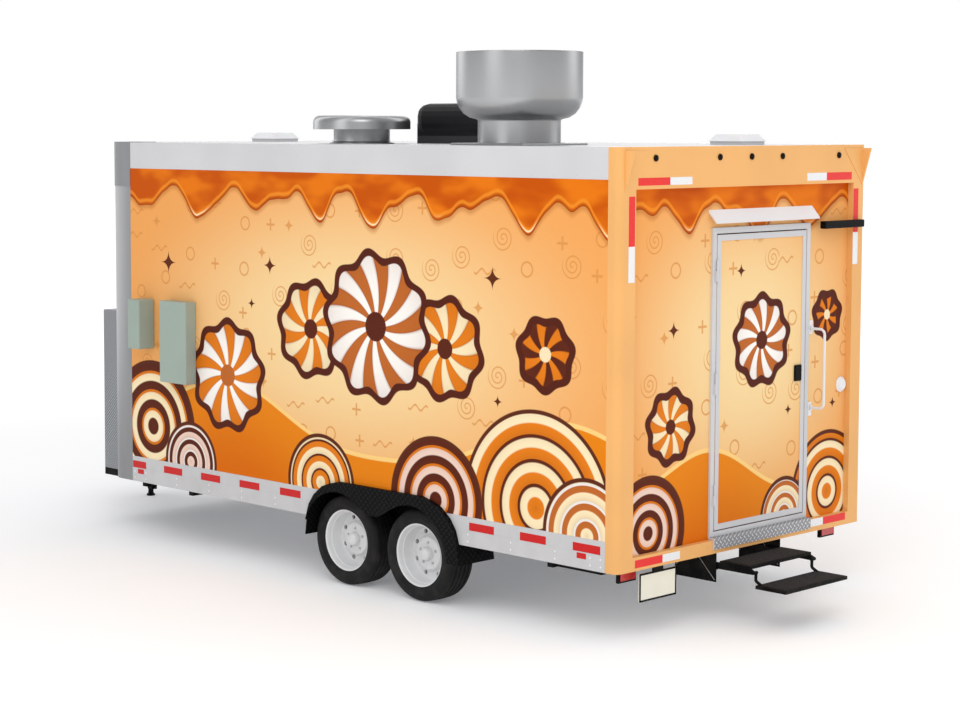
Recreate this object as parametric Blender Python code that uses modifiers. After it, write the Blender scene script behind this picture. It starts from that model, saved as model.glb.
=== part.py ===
"""Food trailer on tandem axles, parked on its tongue jack, with every door and hatch shut.

Metres, +Z up. +X points to the coupler and +Y to the left (driver) side. All sizes are written in
trailer coordinates: x from the rear face forwards, y from the centre line to the left, z from the
ground up. An empty named trailer_origin shifts them so that the middle of the whole is at zero.
"""
import bpy
import bmesh
from math import atan2, cos, hypot, pi, radians, sin, sqrt
from mathutils import Matrix, Vector

# Clearances
SEAT_GAP = 0.0003
MOVE_GAP = 0.006
OVERRUN = 0.01

# Box body
BODY_LENGTH = 5.05
BODY_WIDTH = 2.59
BODY_BOTTOM = 0.455
BODY_TOP = 3.035
WALL = 0.045
FLOOR_THICK = 0.075
ROOF_THICK = 0.05
BOTTOM_RAIL_HEIGHT = 0.192
TOP_RAIL_HEIGHT = 0.195
CORNER_START = 4.76
CORNER_RADIUS = 0.15
CORNER_FRONT_WIDTH = 0.25
CORNER_SEGMENTS = 8
CORNER_CAP_HEIGHT = 0.33
CORNER_CAP_PROUD = 0.004

# Rear frame
FRAME_PROUD = 0.038
POST_DEPTH = 0.055
POST_WIDTH = 0.15
POST_RADIUS = 0.05
HEADER_HEIGHT = 0.255
SILL_HEIGHT = 0.085
FIN_REACH = 0.07
FIN_HEIGHT = 0.253
FIN_DROP = 0.022
FIN_THICK = 0.012
FIN_INSET = 0.045
GUSSET_WIDTH = 0.265
GUSSET_THICK = 0.004
MARKER_RADIUS = 0.02
MARKER_PROUD = 0.008
MARKER_DROP = 0.068
MARKER_PLACES = (0.965, 0.33, 0.0, -0.33, -0.965)

# Rear door
DOOR_MIDDLE = -0.1715
DOOR_FRAME_WIDTH = 1.047
DOOR_FRAME_BOTTOM = 0.55
DOOR_FRAME_TOP = 2.523
DOOR_FRAME_BAND = 0.038
DOOR_FRAME_PROUD = 0.012
DOOR_THICK = 0.042
DOOR_RAIL_BAND = 0.038
DOOR_PANEL_SUNK = 0.006
DOOR_GAP = 0.008
THRESHOLD_HEIGHT = 0.074
THRESHOLD_LIFT = 0.006
HINGE_RADIUS = 0.008
HINGE_LENGTH = 0.07
HINGE_OUT = 0.009
HINGE_SHARES = (0.12, 0.5, 0.88)
LATCH_WIDTH = 0.075
LATCH_HEIGHT = 0.107
LATCH_DEPTH = 0.008
LATCH_Z = 1.535
DRIP_WIDTH = 1.11
DRIP_HEIGHT = 0.085
DRIP_REACH = 0.058
DRIP_TOP = 2.636
DRIP_THICK = 0.006

# Things on the rear wall
GRAB_Y = -0.725
GRAB_LOW = 1.281
GRAB_HIGH = 1.828
GRAB_REACH = 0.1
GRAB_RADIUS = 0.009
GRAB_BEND = 0.035
BRACKET_WIDTH = 0.036
BRACKET_HEIGHT = 0.092
BRACKET_DEPTH = 0.006
INLET_Y = -1.085
INLET_Z = 1.416
INLET_RADIUS = 0.052
INLET_DEPTH = 0.02
BAR_LAMP_Y = -0.99
BAR_LAMP_WIDTH = 0.457
BAR_LAMP_Z = 2.507
BAR_LAMP_HEIGHT = 0.05
BAR_LAMP_DEPTH = 0.045
TAIL_LAMP_X = 0.07
TAIL_LAMP_Y = 1.063
TAIL_LAMP_WIDTH = 0.165
TAIL_LAMP_HEIGHT = 0.09
TAIL_LAMP_DEPTH = 0.022
PLATE_Y = 0.85
PLATE_WIDTH = 0.36
PLATE_BOTTOM = 0.24
PLATE_HEIGHT = 0.178
PLATE_THICK = 0.008
PLATE_TAB_WIDTH = 0.1

# Chassis
RAIL_Y = 0.9
RAIL_WIDTH = 0.05
RAIL_HEIGHT = 0.095
RAIL_START = 0.5
CROSS_WIDTH = 0.045
CROSS_HEIGHT = 0.055
CROSS_PLACES = (0.56, 1.2, 2.95, 3.55, 4.15)
OUTRIGGER_HALF = 1.2
TONGUE_DROP = 0.05
TONGUE_TIP = 6.36
TONGUE_TIP_HALF = 0.045
BASE_HEIGHT = 0.055
BASE_WIDTH = 0.05
LEG_SIZE = 0.05
LEG_FOLDED_SHARE = 0.8
LEG_Y = 1.15
LEG_FRONT_Y = 1.0
LEG_FRONT_X = 4.74
FOLDED_LEG_LENGTH = 0.42
COUPLER_LENGTH = 0.26
COUPLER_WIDTH = 0.085
COUPLER_HEIGHT = 0.075
COUPLER_NOSE_RADIUS = 0.055
BALL_SOCKET_RADIUS = 0.027
BALL_SOCKET_DEPTH = 0.045
JACK_X = 6.22
JACK_TUBE_RADIUS = 0.03
JACK_LEG_RADIUS = 0.023
JACK_TUBE_BOTTOM = 0.2
JACK_TOP = 0.86
JACK_FLANGE_RADIUS = 0.055
JACK_FLANGE_THICK = 0.012
JACK_FOOT_RADIUS = 0.036
JACK_FOOT_THICK = 0.012
JACK_PLATE_LENGTH = 0.17
JACK_PLATE_THICK = 0.012
JACK_CRANK_REACH = 0.13
JACK_CRANK_RADIUS = 0.008
JACK_KNOB_HEIGHT = 0.08

# Running gear
WHEEL_REAR_X = 1.716
WHEEL_SPACING = 0.709
WHEEL_Y = 1.132
TYRE_RADIUS = 0.313
TYRE_WIDTH = 0.235
RIM_RADIUS = 0.222
RIM_WIDTH = 0.212
SEAT_RADIUS = 0.206
HAND_HOLES = 8
HAND_HOLE_RADIUS = 0.015
HAND_HOLE_CIRCLE = 0.155
WHEEL_STEPS = 36
HUB_BORE = 0.02
SPINDLE_RADIUS = 0.0192
SPINDLE_SHARE = 0.55
BACKPLATE_RADIUS = 0.115
BACKPLATE_THICK = 0.012
AXLE_SIZE = 0.07
AXLE_AHEAD = 0.13
AXLE_ARM_THICK = 0.025
AXLE_ARM_HEIGHT = 0.05
AXLE_PAD_LENGTH = 0.16

# Tandem fenders
FENDER_MIDDLE = 2.0135
FENDER_HALF = 0.75
FENDER_BOTTOM = 0.32
FENDER_TOP = 0.73
FENDER_OUT = 0.03
FENDER_INNER_Y = 0.985
FENDER_SKIN = 0.006
FENDER_ARCH = 0.345
FENDER_DIP = 0.54
FENDER_DIP_HALF = 0.05
FENDER_SHARES = ((1.0, 0.0), (0.98, 0.28), (0.935, 0.54), (0.865, 0.72), (0.755, 0.88), (0.65, 0.95), (0.54, 1.0))

# Folding step
STEP_LEFT = 0.292
STEP_RIGHT = -0.398
STEP_PLATE_BOTTOM = 0.262
STEP_PLATE_LENGTH = 0.33
STEP_PLATE_THICK = 0.006
STEP_PLATE_START = -0.02
TREAD_THICK = 0.022
TREAD_DEPTH = 0.232
UPPER_TREAD_X = -0.04
UPPER_TREAD_Z = 0.4
LOWER_TREAD_X = -0.32
LOWER_TREAD_Z = 0.285
TREAD_SIDE = 0.02
STEP_LEG_RADIUS = 0.0105
STEP_HINGE_RADIUS = 0.011
STEP_HINGE_BACK = 0.028
STEP_HINGE_Z = 0.36
STEP_LEG_STRAIGHT = 0.048
STEP_RUNNER_LENGTH = 0.25
STEP_RUNNER_HEIGHT = 0.03
STEP_RUNNER_WIDTH = 0.012

# Serving side
WINDOW_START = 1.65
WINDOW_LENGTH = 2.5
WINDOW_BOTTOM = 1.37
WINDOW_HEIGHT = 0.98
WINDOW_BAND = 0.03
WINDOW_PROUD = 0.003
WINDOW_DEPTH = 0.085
WINDOW_LIP = 0.018
WINDOW_MULLION = 0.03
GLASS_THICK = 0.006
GLASS_SHARE = 0.86
HATCH_THICK = 0.022
HATCH_HINGE_OUT = 0.012
SHELF_DEPTH = 0.3
SHELF_THICK = 0.025
SHELF_DROP = 0.03
SHELF_HINGE_RADIUS = 0.008
SHELF_BACK_GAP = 0.012

# Boxes on the left wall
SMALL_BOX_X = 4.476
SMALL_BOX_LENGTH = 0.14
SMALL_BOX_DEPTH = 0.146
SMALL_BOX_BOTTOM = 1.494
SMALL_BOX_HEIGHT = 0.37
LARGE_BOX_X = 3.98
LARGE_BOX_LENGTH = 0.31
LARGE_BOX_DEPTH = 0.1
LARGE_BOX_BOTTOM = 1.265
LARGE_BOX_HEIGHT = 0.605
BOX_ROUND = 0.006

# Front cabinet
CABINET_GAP = 0.015
CABINET_DEPTH = 0.585
CABINET_HALF = 0.9
CABINET_TOP = 1.69
CABINET_BOTTOM = 0.412
CABINET_WALL = 0.02
CABINET_FRAME = 0.05
CABINET_DOOR_THICK = 0.02
CABINET_HINGE_RADIUS = 0.008

# Roof equipment
FAN_X = 1.323
FAN_Y = 0.7
FAN_RADIUS = 0.418
FAN_TOP = 3.645
FAN_BOWL_STRAIGHT = 3.336
FAN_BOWL_BOTTOM = 3.204
FAN_NECK_RADIUS = 0.274
FAN_CURB = 0.64
FAN_CURB_HEIGHT = 0.014
FAN_SHEET = 0.01
FAN_DOME_RADIUS = 0.22
FAN_DOME_TOP = 3.53
FAN_STEPS = 40
VENT_X = 2.835
VENT_Y = 0.7
VENT_RADIUS = 0.346
VENT_TOP = 3.24
VENT_CAP_BOTTOM = 3.136
VENT_CROWN = 0.006
VENT_SHOULDER = 0.05
VENT_SHEET = 0.006
VENT_UNDER = 0.024
VENT_NECK_RADIUS = 0.2
VENT_STEPS = 36
COOLER_X = 1.95
COOLER_LENGTH = 0.78
COOLER_Y = -0.36
COOLER_WIDTH = 0.66
COOLER_HEIGHT = 0.285
COOLER_ROUND = 0.09
COOLER_BASE = 0.05
HATCHLET_SIZE = 0.28
HATCHLET_BASE = 0.022
HATCHLET_LID = 0.05
HATCHLET_INSET = 0.04
HATCHLET_HINGE = 0.01
HATCHLET_RIM = 0.012
HATCHLET_PLACES = (("front", 4.58, 0.0), ("rear", 0.45, -0.5))

# The middle of the whole, in trailer coordinates
REAR_REACH = -(LOWER_TREAD_X - TREAD_DEPTH)
FRONT_REACH = TONGUE_TIP + COUPLER_LENGTH
LEFT_REACH = BODY_WIDTH / 2 + SMALL_BOX_DEPTH
RIGHT_REACH = BODY_WIDTH / 2 + SHELF_BACK_GAP + SHELF_THICK
MIDDLE = Vector(((FRONT_REACH - REAR_REACH) / 2, (LEFT_REACH - RIGHT_REACH) / 2, 0))

HALF = BODY_WIDTH / 2


def clear_scene():
    """Removes what the file opened with."""
    for item in list(bpy.data.objects):
        bpy.data.objects.remove(item, do_unlink=True)
    for group in list(bpy.data.collections):
        bpy.data.collections.remove(group)


clear_scene()
PARTS = bpy.data.collections.new("food_trailer")
CUTTERS = bpy.data.collections.new("cutters")
for group in (PARTS, CUTTERS):
    bpy.context.scene.collection.children.link(group)
ORIGIN = bpy.data.objects.new("trailer_origin", None)
ORIGIN.location = -MIDDLE
PARTS.objects.link(ORIGIN)


def material(name, colour, roughness, metallic=0.0, alpha=1.0):
    """A plain Principled finish, shared by the pieces that have it."""
    made = bpy.data.materials.get(name)
    if made:
        return made
    made = bpy.data.materials.new(name)
    made.use_nodes = True
    shader = made.node_tree.nodes["Principled BSDF"]
    shader.inputs["Base Color"].default_value = (*colour, 1.0)
    shader.inputs["Roughness"].default_value = roughness
    shader.inputs["Metallic"].default_value = metallic
    shader.inputs["Alpha"].default_value = alpha
    return made


def shape(mesh):
    """An object that holds a mesh, as a working shape in the cutters' collection."""
    made = bpy.data.objects.new("shape", mesh)
    CUTTERS.objects.link(made)
    made.parent = ORIGIN
    made.hide_render = True
    made.display_type = "WIRE"
    return made


def box(xs, ys, zs):
    """A box between two values along each axis."""
    form = bmesh.new()
    bmesh.ops.create_cube(form, size=1.0)
    low = Vector([min(pair) for pair in (xs, ys, zs)])
    high = Vector([max(pair) for pair in (xs, ys, zs)])
    size = high - low
    bmesh.ops.scale(form, vec=size, verts=form.verts)
    bmesh.ops.translate(form, vec=(low + high) / 2, verts=form.verts)
    mesh = bpy.data.meshes.new("box")
    form.to_mesh(mesh)
    form.free()
    return shape(mesh)


def rod(start, end, radius, sides=16, end_radius=None):
    """A cylinder or cone from one point to another."""
    start = Vector(start)
    along = Vector(end) - start
    form = bmesh.new()
    bmesh.ops.create_cone(form, cap_ends=True, segments=sides, radius1=radius,
                          radius2=radius if end_radius is None else end_radius, depth=along.length)
    turn = along.to_track_quat("Z", "Y").to_matrix().to_4x4()
    bmesh.ops.transform(form, matrix=Matrix.Translation(start + along / 2) @ turn, verts=form.verts)
    mesh = bpy.data.meshes.new("rod")
    form.to_mesh(mesh)
    form.free()
    return shape(mesh)


def evaluated(holder, weld=0.00001):
    """The mesh that a curve or a modifier makes, welded, with the holder removed."""
    bpy.context.view_layer.update()
    graph = bpy.context.evaluated_depsgraph_get()
    mesh = bpy.data.meshes.new_from_object(holder.evaluated_get(graph))
    mesh.transform(holder.matrix_world)
    bpy.data.objects.remove(holder, do_unlink=True)
    form = bmesh.new()
    form.from_mesh(mesh)
    bmesh.ops.remove_doubles(form, verts=form.verts, dist=weld)
    bmesh.ops.recalc_face_normals(form, faces=form.faces)
    form.to_mesh(mesh)
    form.free()
    return mesh


def holder_of(data):
    """An unparented object for a curve or profile that is about to be turned into a mesh."""
    made = bpy.data.objects.new("holder", data)
    CUTTERS.objects.link(made)
    return made


PLANES = {
    "x": Matrix(((0, 0, 1, 0), (1, 0, 0, 0), (0, 1, 0, 0), (0, 0, 0, 1))),
    "y": Matrix(((1, 0, 0, 0), (0, 0, -1, 0), (0, 1, 0, 0), (0, 0, 0, 1))),
    "z": Matrix.Identity(4),
}


def prism(axis, outline, low, high, holes=()):
    """A flat outline with holes, given thickness along an axis from low to high.

    The outline is in (y, z) for axis x, in (x, z) for axis y and in (x, y) for axis z.
    """
    curve = bpy.data.curves.new("outline", "CURVE")
    curve.dimensions = "2D"
    curve.fill_mode = "BOTH"
    curve.extrude = abs(high - low) / 2
    for loop in (outline, *holes):
        line = curve.splines.new("POLY")
        line.points.add(len(loop) - 1)
        for point, place in zip(line.points, loop):
            point.co = (place[0], place[1], 0, 1)
        line.use_cyclic_u = True
    holder = holder_of(curve)
    middle = (low + high) / 2
    shift = {"x": (middle, 0, 0), "y": (0, middle, 0), "z": (0, 0, middle)}[axis]
    holder.matrix_world = Matrix.Translation(shift) @ PLANES[axis]
    return shape(evaluated(holder))


def tube(points, radius, resolution=2):
    """A round bar along a line of points, with closed ends."""
    curve = bpy.data.curves.new("line", "CURVE")
    curve.dimensions = "3D"
    curve.bevel_depth = radius
    curve.bevel_resolution = resolution
    curve.use_fill_caps = True
    line = curve.splines.new("POLY")
    line.points.add(len(points) - 1)
    for point, place in zip(line.points, points):
        point.co = (*place, 1)
    return shape(evaluated(holder_of(curve)))


def turned(profile, steps, place=Matrix.Identity(4), closed=False):
    """A profile of (radius, height), top to bottom down its outer side, turned about an axis."""
    mesh = bpy.data.meshes.new("profile")
    count = len(profile)
    edges = [(i, i + 1) for i in range(count - 1)]
    if closed:
        edges.append((count - 1, 0))
    mesh.from_pydata([(r, 0, z) for r, z in profile], edges, [])
    holder = holder_of(mesh)
    screw = holder.modifiers.new("turn", "SCREW")
    screw.axis = "Z"
    screw.steps = steps
    screw.render_steps = steps
    screw.use_merge_vertices = True
    screw.merge_threshold = 0.00001
    holder.matrix_world = place
    return shape(evaluated(holder))


def boolean(target, tool, operation):
    """Joins a shape to another, or cuts it out of it."""
    made = target.modifiers.new(operation.lower(), "BOOLEAN")
    made.operation = operation
    made.object = tool
    made.solver = "EXACT"


def union(base, *others):
    """The base with the other shapes joined to it."""
    for other in others:
        boolean(base, other, "UNION")
    return base


def cut(base, *tools):
    """The base with the tools cut out of it."""
    for tool in tools:
        boolean(base, tool, "DIFFERENCE")
    return base


def rounded(base, width, segments=2, angle=40):
    """The base with its sharp edges bevelled."""
    made = base.modifiers.new("round", "BEVEL")
    made.width = width
    made.segments = segments
    made.limit_method = "ANGLE"
    made.angle_limit = radians(angle)
    return base


def smooth(base):
    """Smooth shading with sharp edges kept."""
    base.data.shade_smooth()
    base.data.set_sharp_from_angle(angle=radians(35))
    return base


def node(name, base, finish, pivot=None):
    """Makes a working shape a part of the trailer, with its origin on its pivot."""
    base.name = name
    base.data.name = name
    base.data.materials.clear()
    base.data.materials.append(finish)
    base.hide_render = False
    base.display_type = "TEXTURED"
    CUTTERS.objects.unlink(base)
    PARTS.objects.link(base)
    if pivot is not None:
        base.data.transform(Matrix.Translation(-Vector(pivot)))
        base.location = pivot
    return base


def arc(centre, radius, start, end, segments):
    """Points along a circular arc, with angles in degrees."""
    return [(centre[0] + radius * cos(radians(start + (end - start) * i / segments)),
             centre[1] + radius * sin(radians(start + (end - start) * i / segments)))
            for i in range(segments + 1)]


def frame_outline(y_pair, z_pair):
    """The four corners of a rectangle, for a prism along x or y."""
    return [(y_pair[0], z_pair[0]), (y_pair[1], z_pair[0]), (y_pair[1], z_pair[1]), (y_pair[0], z_pair[1])]


# Finishes
TAN = material("tan_frame", (0.84, 0.42, 0.12), 0.45)
WRAP = material("wrap_panel", (0.84, 0.55, 0.26), 0.4)
RAIL_GREY = material("grey_rail", (0.6, 0.6, 0.6), 0.4)
CORNER_GREY = material("corner_grey", (0.3, 0.3, 0.3), 0.45)
ROOF_GREY = material("roof_sheet", (0.5, 0.5, 0.5), 0.45, 0.3)
BLACK_STEEL = material("black_steel", (0.012, 0.012, 0.012), 0.5, 0.3)
RUBBER = material("tyre_rubber", (0.02, 0.02, 0.02), 0.8)
SILVER = material("silver_wheel", (0.6, 0.6, 0.6), 0.35, 0.8)
DIAMOND_BLACK = material("black_tread_plate", (0.01, 0.01, 0.01), 0.5, 0.2)
ALUMINIUM = material("aluminium", (0.7, 0.7, 0.71), 0.3, 0.9)
WHITE = material("white_trim", (0.8, 0.8, 0.8), 0.4)
BLACK_PLASTIC = material("black_plastic", (0.01, 0.01, 0.01), 0.4)
RED_LENS = material("red_lens", (0.8, 0.01, 0.01), 0.25)
BOX_GREEN = material("box_green", (0.33, 0.42, 0.35), 0.5)
GLASS = material("window_glass", (0.8, 0.85, 0.85), 0.05, 0.0, 0.3)


def corner_outline(side, proud):
    """Front corner in plan: a flat on the side, a round corner and a flat on the front."""
    centre = (BODY_LENGTH - CORNER_RADIUS, HALF - CORNER_RADIUS)
    start = CORNER_START + SEAT_GAP
    line = [(start, HALF + proud)]
    line += arc(centre, CORNER_RADIUS + proud, 90, 0, CORNER_SEGMENTS)
    line += [(BODY_LENGTH + proud, HALF - CORNER_FRONT_WIDTH), (start, HALF - CORNER_FRONT_WIDTH)]
    return [(x, side * y) for x, y in line]


def corner_hollow(side):
    """The room inside a front corner, open to the cabin, between floor and roof."""
    centre = (BODY_LENGTH - CORNER_RADIUS, HALF - CORNER_RADIUS)
    start = CORNER_START - OVERRUN
    end = HALF - CORNER_FRONT_WIDTH - OVERRUN
    line = [(start, HALF - WALL)] + arc(centre, CORNER_RADIUS - WALL, 90, 0, CORNER_SEGMENTS)
    line += [(BODY_LENGTH - WALL, end), (start, end)]
    return prism("z", [(x, side * y) for x, y in line], BODY_BOTTOM + FLOOR_THICK, BODY_TOP - ROOF_THICK)


def fender_outline(gap=0, drop=0):
    """Tandem arch in (x, z): upright ends that lean in to round shoulders and a level top.

    The gap sets the whole line out or in, and the drop takes its open ends lower.
    """
    height = FENDER_TOP - FENDER_BOTTOM
    high = [(a * FENDER_HALF + gap, FENDER_BOTTOM + height * b + gap) for a, b in FENDER_SHARES]
    low = (high[0][0], FENDER_BOTTOM - drop)
    line = [low] + high[(0 if gap > 0 else 1):]
    front = [(FENDER_MIDDLE + x, z) for x, z in line]
    return front + [(2 * FENDER_MIDDLE - x, z) for x, z in reversed(front)]


def arch_outline():
    """Opening of the outer valance in (x, z): an arch over each wheel with a dip between them."""
    front_x = WHEEL_REAR_X + WHEEL_SPACING
    middle = (WHEEL_REAR_X + front_x) / 2
    low = FENDER_BOTTOM - OVERRUN
    line = [(WHEEL_REAR_X - FENDER_ARCH, low)]
    line += arc((WHEEL_REAR_X, TYRE_RADIUS), FENDER_ARCH, 175, 60, 12)
    line += [(middle - FENDER_DIP_HALF, FENDER_DIP), (middle + FENDER_DIP_HALF, FENDER_DIP)]
    line += arc((front_x, TYRE_RADIUS), FENDER_ARCH, 120, 5, 12)
    line.append((front_x + FENDER_ARCH, low))
    return line


def wheel_pocket(side, gap):
    """The room that a fender takes out of the floor and wall."""
    outline = fender_outline(gap, OVERRUN)
    low = side * (FENDER_INNER_Y - gap)
    high = side * (HALF + FENDER_OUT + OVERRUN)
    return prism("y", outline, min(low, high), max(low, high))


def build_body():
    """Floor, walls, roof, front corners and rear frame."""
    wall_low = BODY_BOTTOM + BOTTOM_RAIL_HEIGHT
    wall_high = BODY_TOP - TOP_RAIL_HEIGHT
    side_x = (POST_DEPTH + SEAT_GAP, CORNER_START - SEAT_GAP)
    inside_x = (POST_DEPTH + SEAT_GAP, BODY_LENGTH - WALL - SEAT_GAP)
    inside = HALF - WALL
    corner_clear = HALF - CORNER_FRONT_WIDTH - SEAT_GAP
    corner_x = CORNER_START - SEAT_GAP
    slab = [(inside_x[0], -inside), (corner_x, -inside), (corner_x, -corner_clear),
            (inside_x[1], -corner_clear), (inside_x[1], corner_clear), (corner_x, corner_clear),
            (corner_x, inside), (inside_x[0], inside)]
    near = inside - OVERRUN

    floor = prism("z", slab, BODY_BOTTOM, BODY_BOTTOM + FLOOR_THICK)
    roof = prism("z", slab, BODY_TOP - ROOF_THICK, BODY_TOP)
    for side in (1, -1):
        union(floor, box(side_x, (side * near, side * HALF), (BODY_BOTTOM, wall_low)))
        union(roof, box(side_x, (side * near, side * HALF), (wall_high, BODY_TOP)))
    cut(floor, wheel_pocket(1, SEAT_GAP), wheel_pocket(-1, SEAT_GAP))
    for name, x, y in HATCHLET_PLACES:
        union(roof, hatchlet_base(x, y))
    node("floor", floor, RAIL_GREY)
    node("roof", smooth(roof), ROOF_GREY)

    for side, name in ((1, "wall_left"), (-1, "wall_right")):
        panel = box(side_x, (side * inside, side * HALF), (wall_low + SEAT_GAP, wall_high - SEAT_GAP))
        cut(panel, wheel_pocket(side, SEAT_GAP))
        if side < 0:
            cut(panel, box((WINDOW_START - SEAT_GAP, WINDOW_START + WINDOW_LENGTH + SEAT_GAP),
                           (-HALF - OVERRUN, -inside + OVERRUN),
                           (WINDOW_BOTTOM - SEAT_GAP, WINDOW_BOTTOM + WINDOW_HEIGHT + SEAT_GAP)))
        node(name, panel, WRAP)
    front = box((BODY_LENGTH - WALL, BODY_LENGTH), (-corner_clear, corner_clear), (BODY_BOTTOM, BODY_TOP))
    node("wall_front", front, RAIL_GREY)
    for side, name in ((1, "front_corner_left"), (-1, "front_corner_right")):
        column = prism("z", corner_outline(side, 0), BODY_BOTTOM, BODY_TOP - CORNER_CAP_HEIGHT + OVERRUN)
        cap = prism("z", corner_outline(side, CORNER_CAP_PROUD), BODY_TOP - CORNER_CAP_HEIGHT,
                    BODY_TOP + CORNER_CAP_PROUD)
        node(name, smooth(cut(union(column, cap), corner_hollow(side))), CORNER_GREY)


def hatchlet_base(x, y):
    """The raised curb of a small roof vent."""
    half = HATCHLET_SIZE / 2 - HATCHLET_RIM
    return box((x - half, x + half), (y - half, y + half), (BODY_TOP - OVERRUN, BODY_TOP + HATCHLET_BASE))


def build_rear_frame():
    """Posts with round corners, header with marker lamps, sill, and the fins at the top corners."""
    face = -FRAME_PROUD
    round_corner = arc((face + POST_RADIUS, HALF - POST_RADIUS), POST_RADIUS, 90, 180, 6)
    ring_plan = [(POST_DEPTH, -HALF)] + [(x, -y) for x, y in round_corner]
    ring_plan += list(reversed(round_corner)) + [(POST_DEPTH, HALF)]
    frame = prism("z", ring_plan, BODY_BOTTOM, BODY_TOP)
    inner = HALF - POST_WIDTH
    cut(frame, box((face - OVERRUN, POST_DEPTH + OVERRUN), (-inner, inner),
                   (BODY_BOTTOM + SILL_HEIGHT, BODY_TOP - HEADER_HEIGHT)))
    top = BODY_TOP - FIN_DROP
    for side in (1, -1):
        root = face + POST_RADIUS / 2
        outline = [(root, top), (root, top - FIN_HEIGHT), (face, top - FIN_HEIGHT), (face - FIN_REACH, top)]
        low = side * (HALF - FIN_INSET - FIN_THICK)
        high = side * (HALF - FIN_INSET)
        union(frame, prism("y", outline, min(low, high), max(low, high)))
        gusset = [(side * (HALF - GUSSET_WIDTH), top), (side * (HALF - FIN_INSET), top),
                  (side * (HALF - FIN_INSET), top - FIN_HEIGHT + GUSSET_THICK)]
        union(frame, prism("x", gusset, face - GUSSET_THICK, face + OVERRUN))
    for y in MARKER_PLACES:
        place = (y, BODY_TOP - MARKER_DROP)
        union(frame, rod((face + OVERRUN, *place), (face - MARKER_PROUD, *place), MARKER_RADIUS, 12))
    node("rear_frame", smooth(frame), TAN)


def build_rear_wall():
    """The wrapped infill with its door opening, the grab handle's brackets and the round inlet."""
    inner = HALF - POST_WIDTH - SEAT_GAP
    low = BODY_BOTTOM + SILL_HEIGHT + SEAT_GAP
    high = BODY_TOP - HEADER_HEIGHT - SEAT_GAP
    panel = box((DOOR_PANEL_SUNK / 2, POST_DEPTH - SEAT_GAP), (-inner, inner), (low, high))
    half = DOOR_FRAME_WIDTH / 2 + SEAT_GAP
    cut(panel, box((-OVERRUN, POST_DEPTH + OVERRUN), (DOOR_MIDDLE - half, DOOR_MIDDLE + half),
                   (DOOR_FRAME_BOTTOM - SEAT_GAP, DOOR_FRAME_TOP + SEAT_GAP)))
    for z in (GRAB_LOW, GRAB_HIGH):
        union(panel, box((-BRACKET_DEPTH, OVERRUN), (GRAB_Y - BRACKET_WIDTH / 2, GRAB_Y + BRACKET_WIDTH / 2),
                         (z - BRACKET_HEIGHT / 2, z + BRACKET_HEIGHT / 2)))
    union(panel, turned([(0, INLET_DEPTH), (INLET_RADIUS * 0.7, INLET_DEPTH), (INLET_RADIUS * 0.85, INLET_DEPTH / 2),
                         (INLET_RADIUS, INLET_DEPTH / 4), (INLET_RADIUS, -OVERRUN), (0, -OVERRUN)], 20,
                        Matrix.Translation((0, INLET_Y, INLET_Z)) @ Matrix.Rotation(radians(-90), 4, "Y")))
    node("wall_rear", smooth(panel), WRAP)


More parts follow.
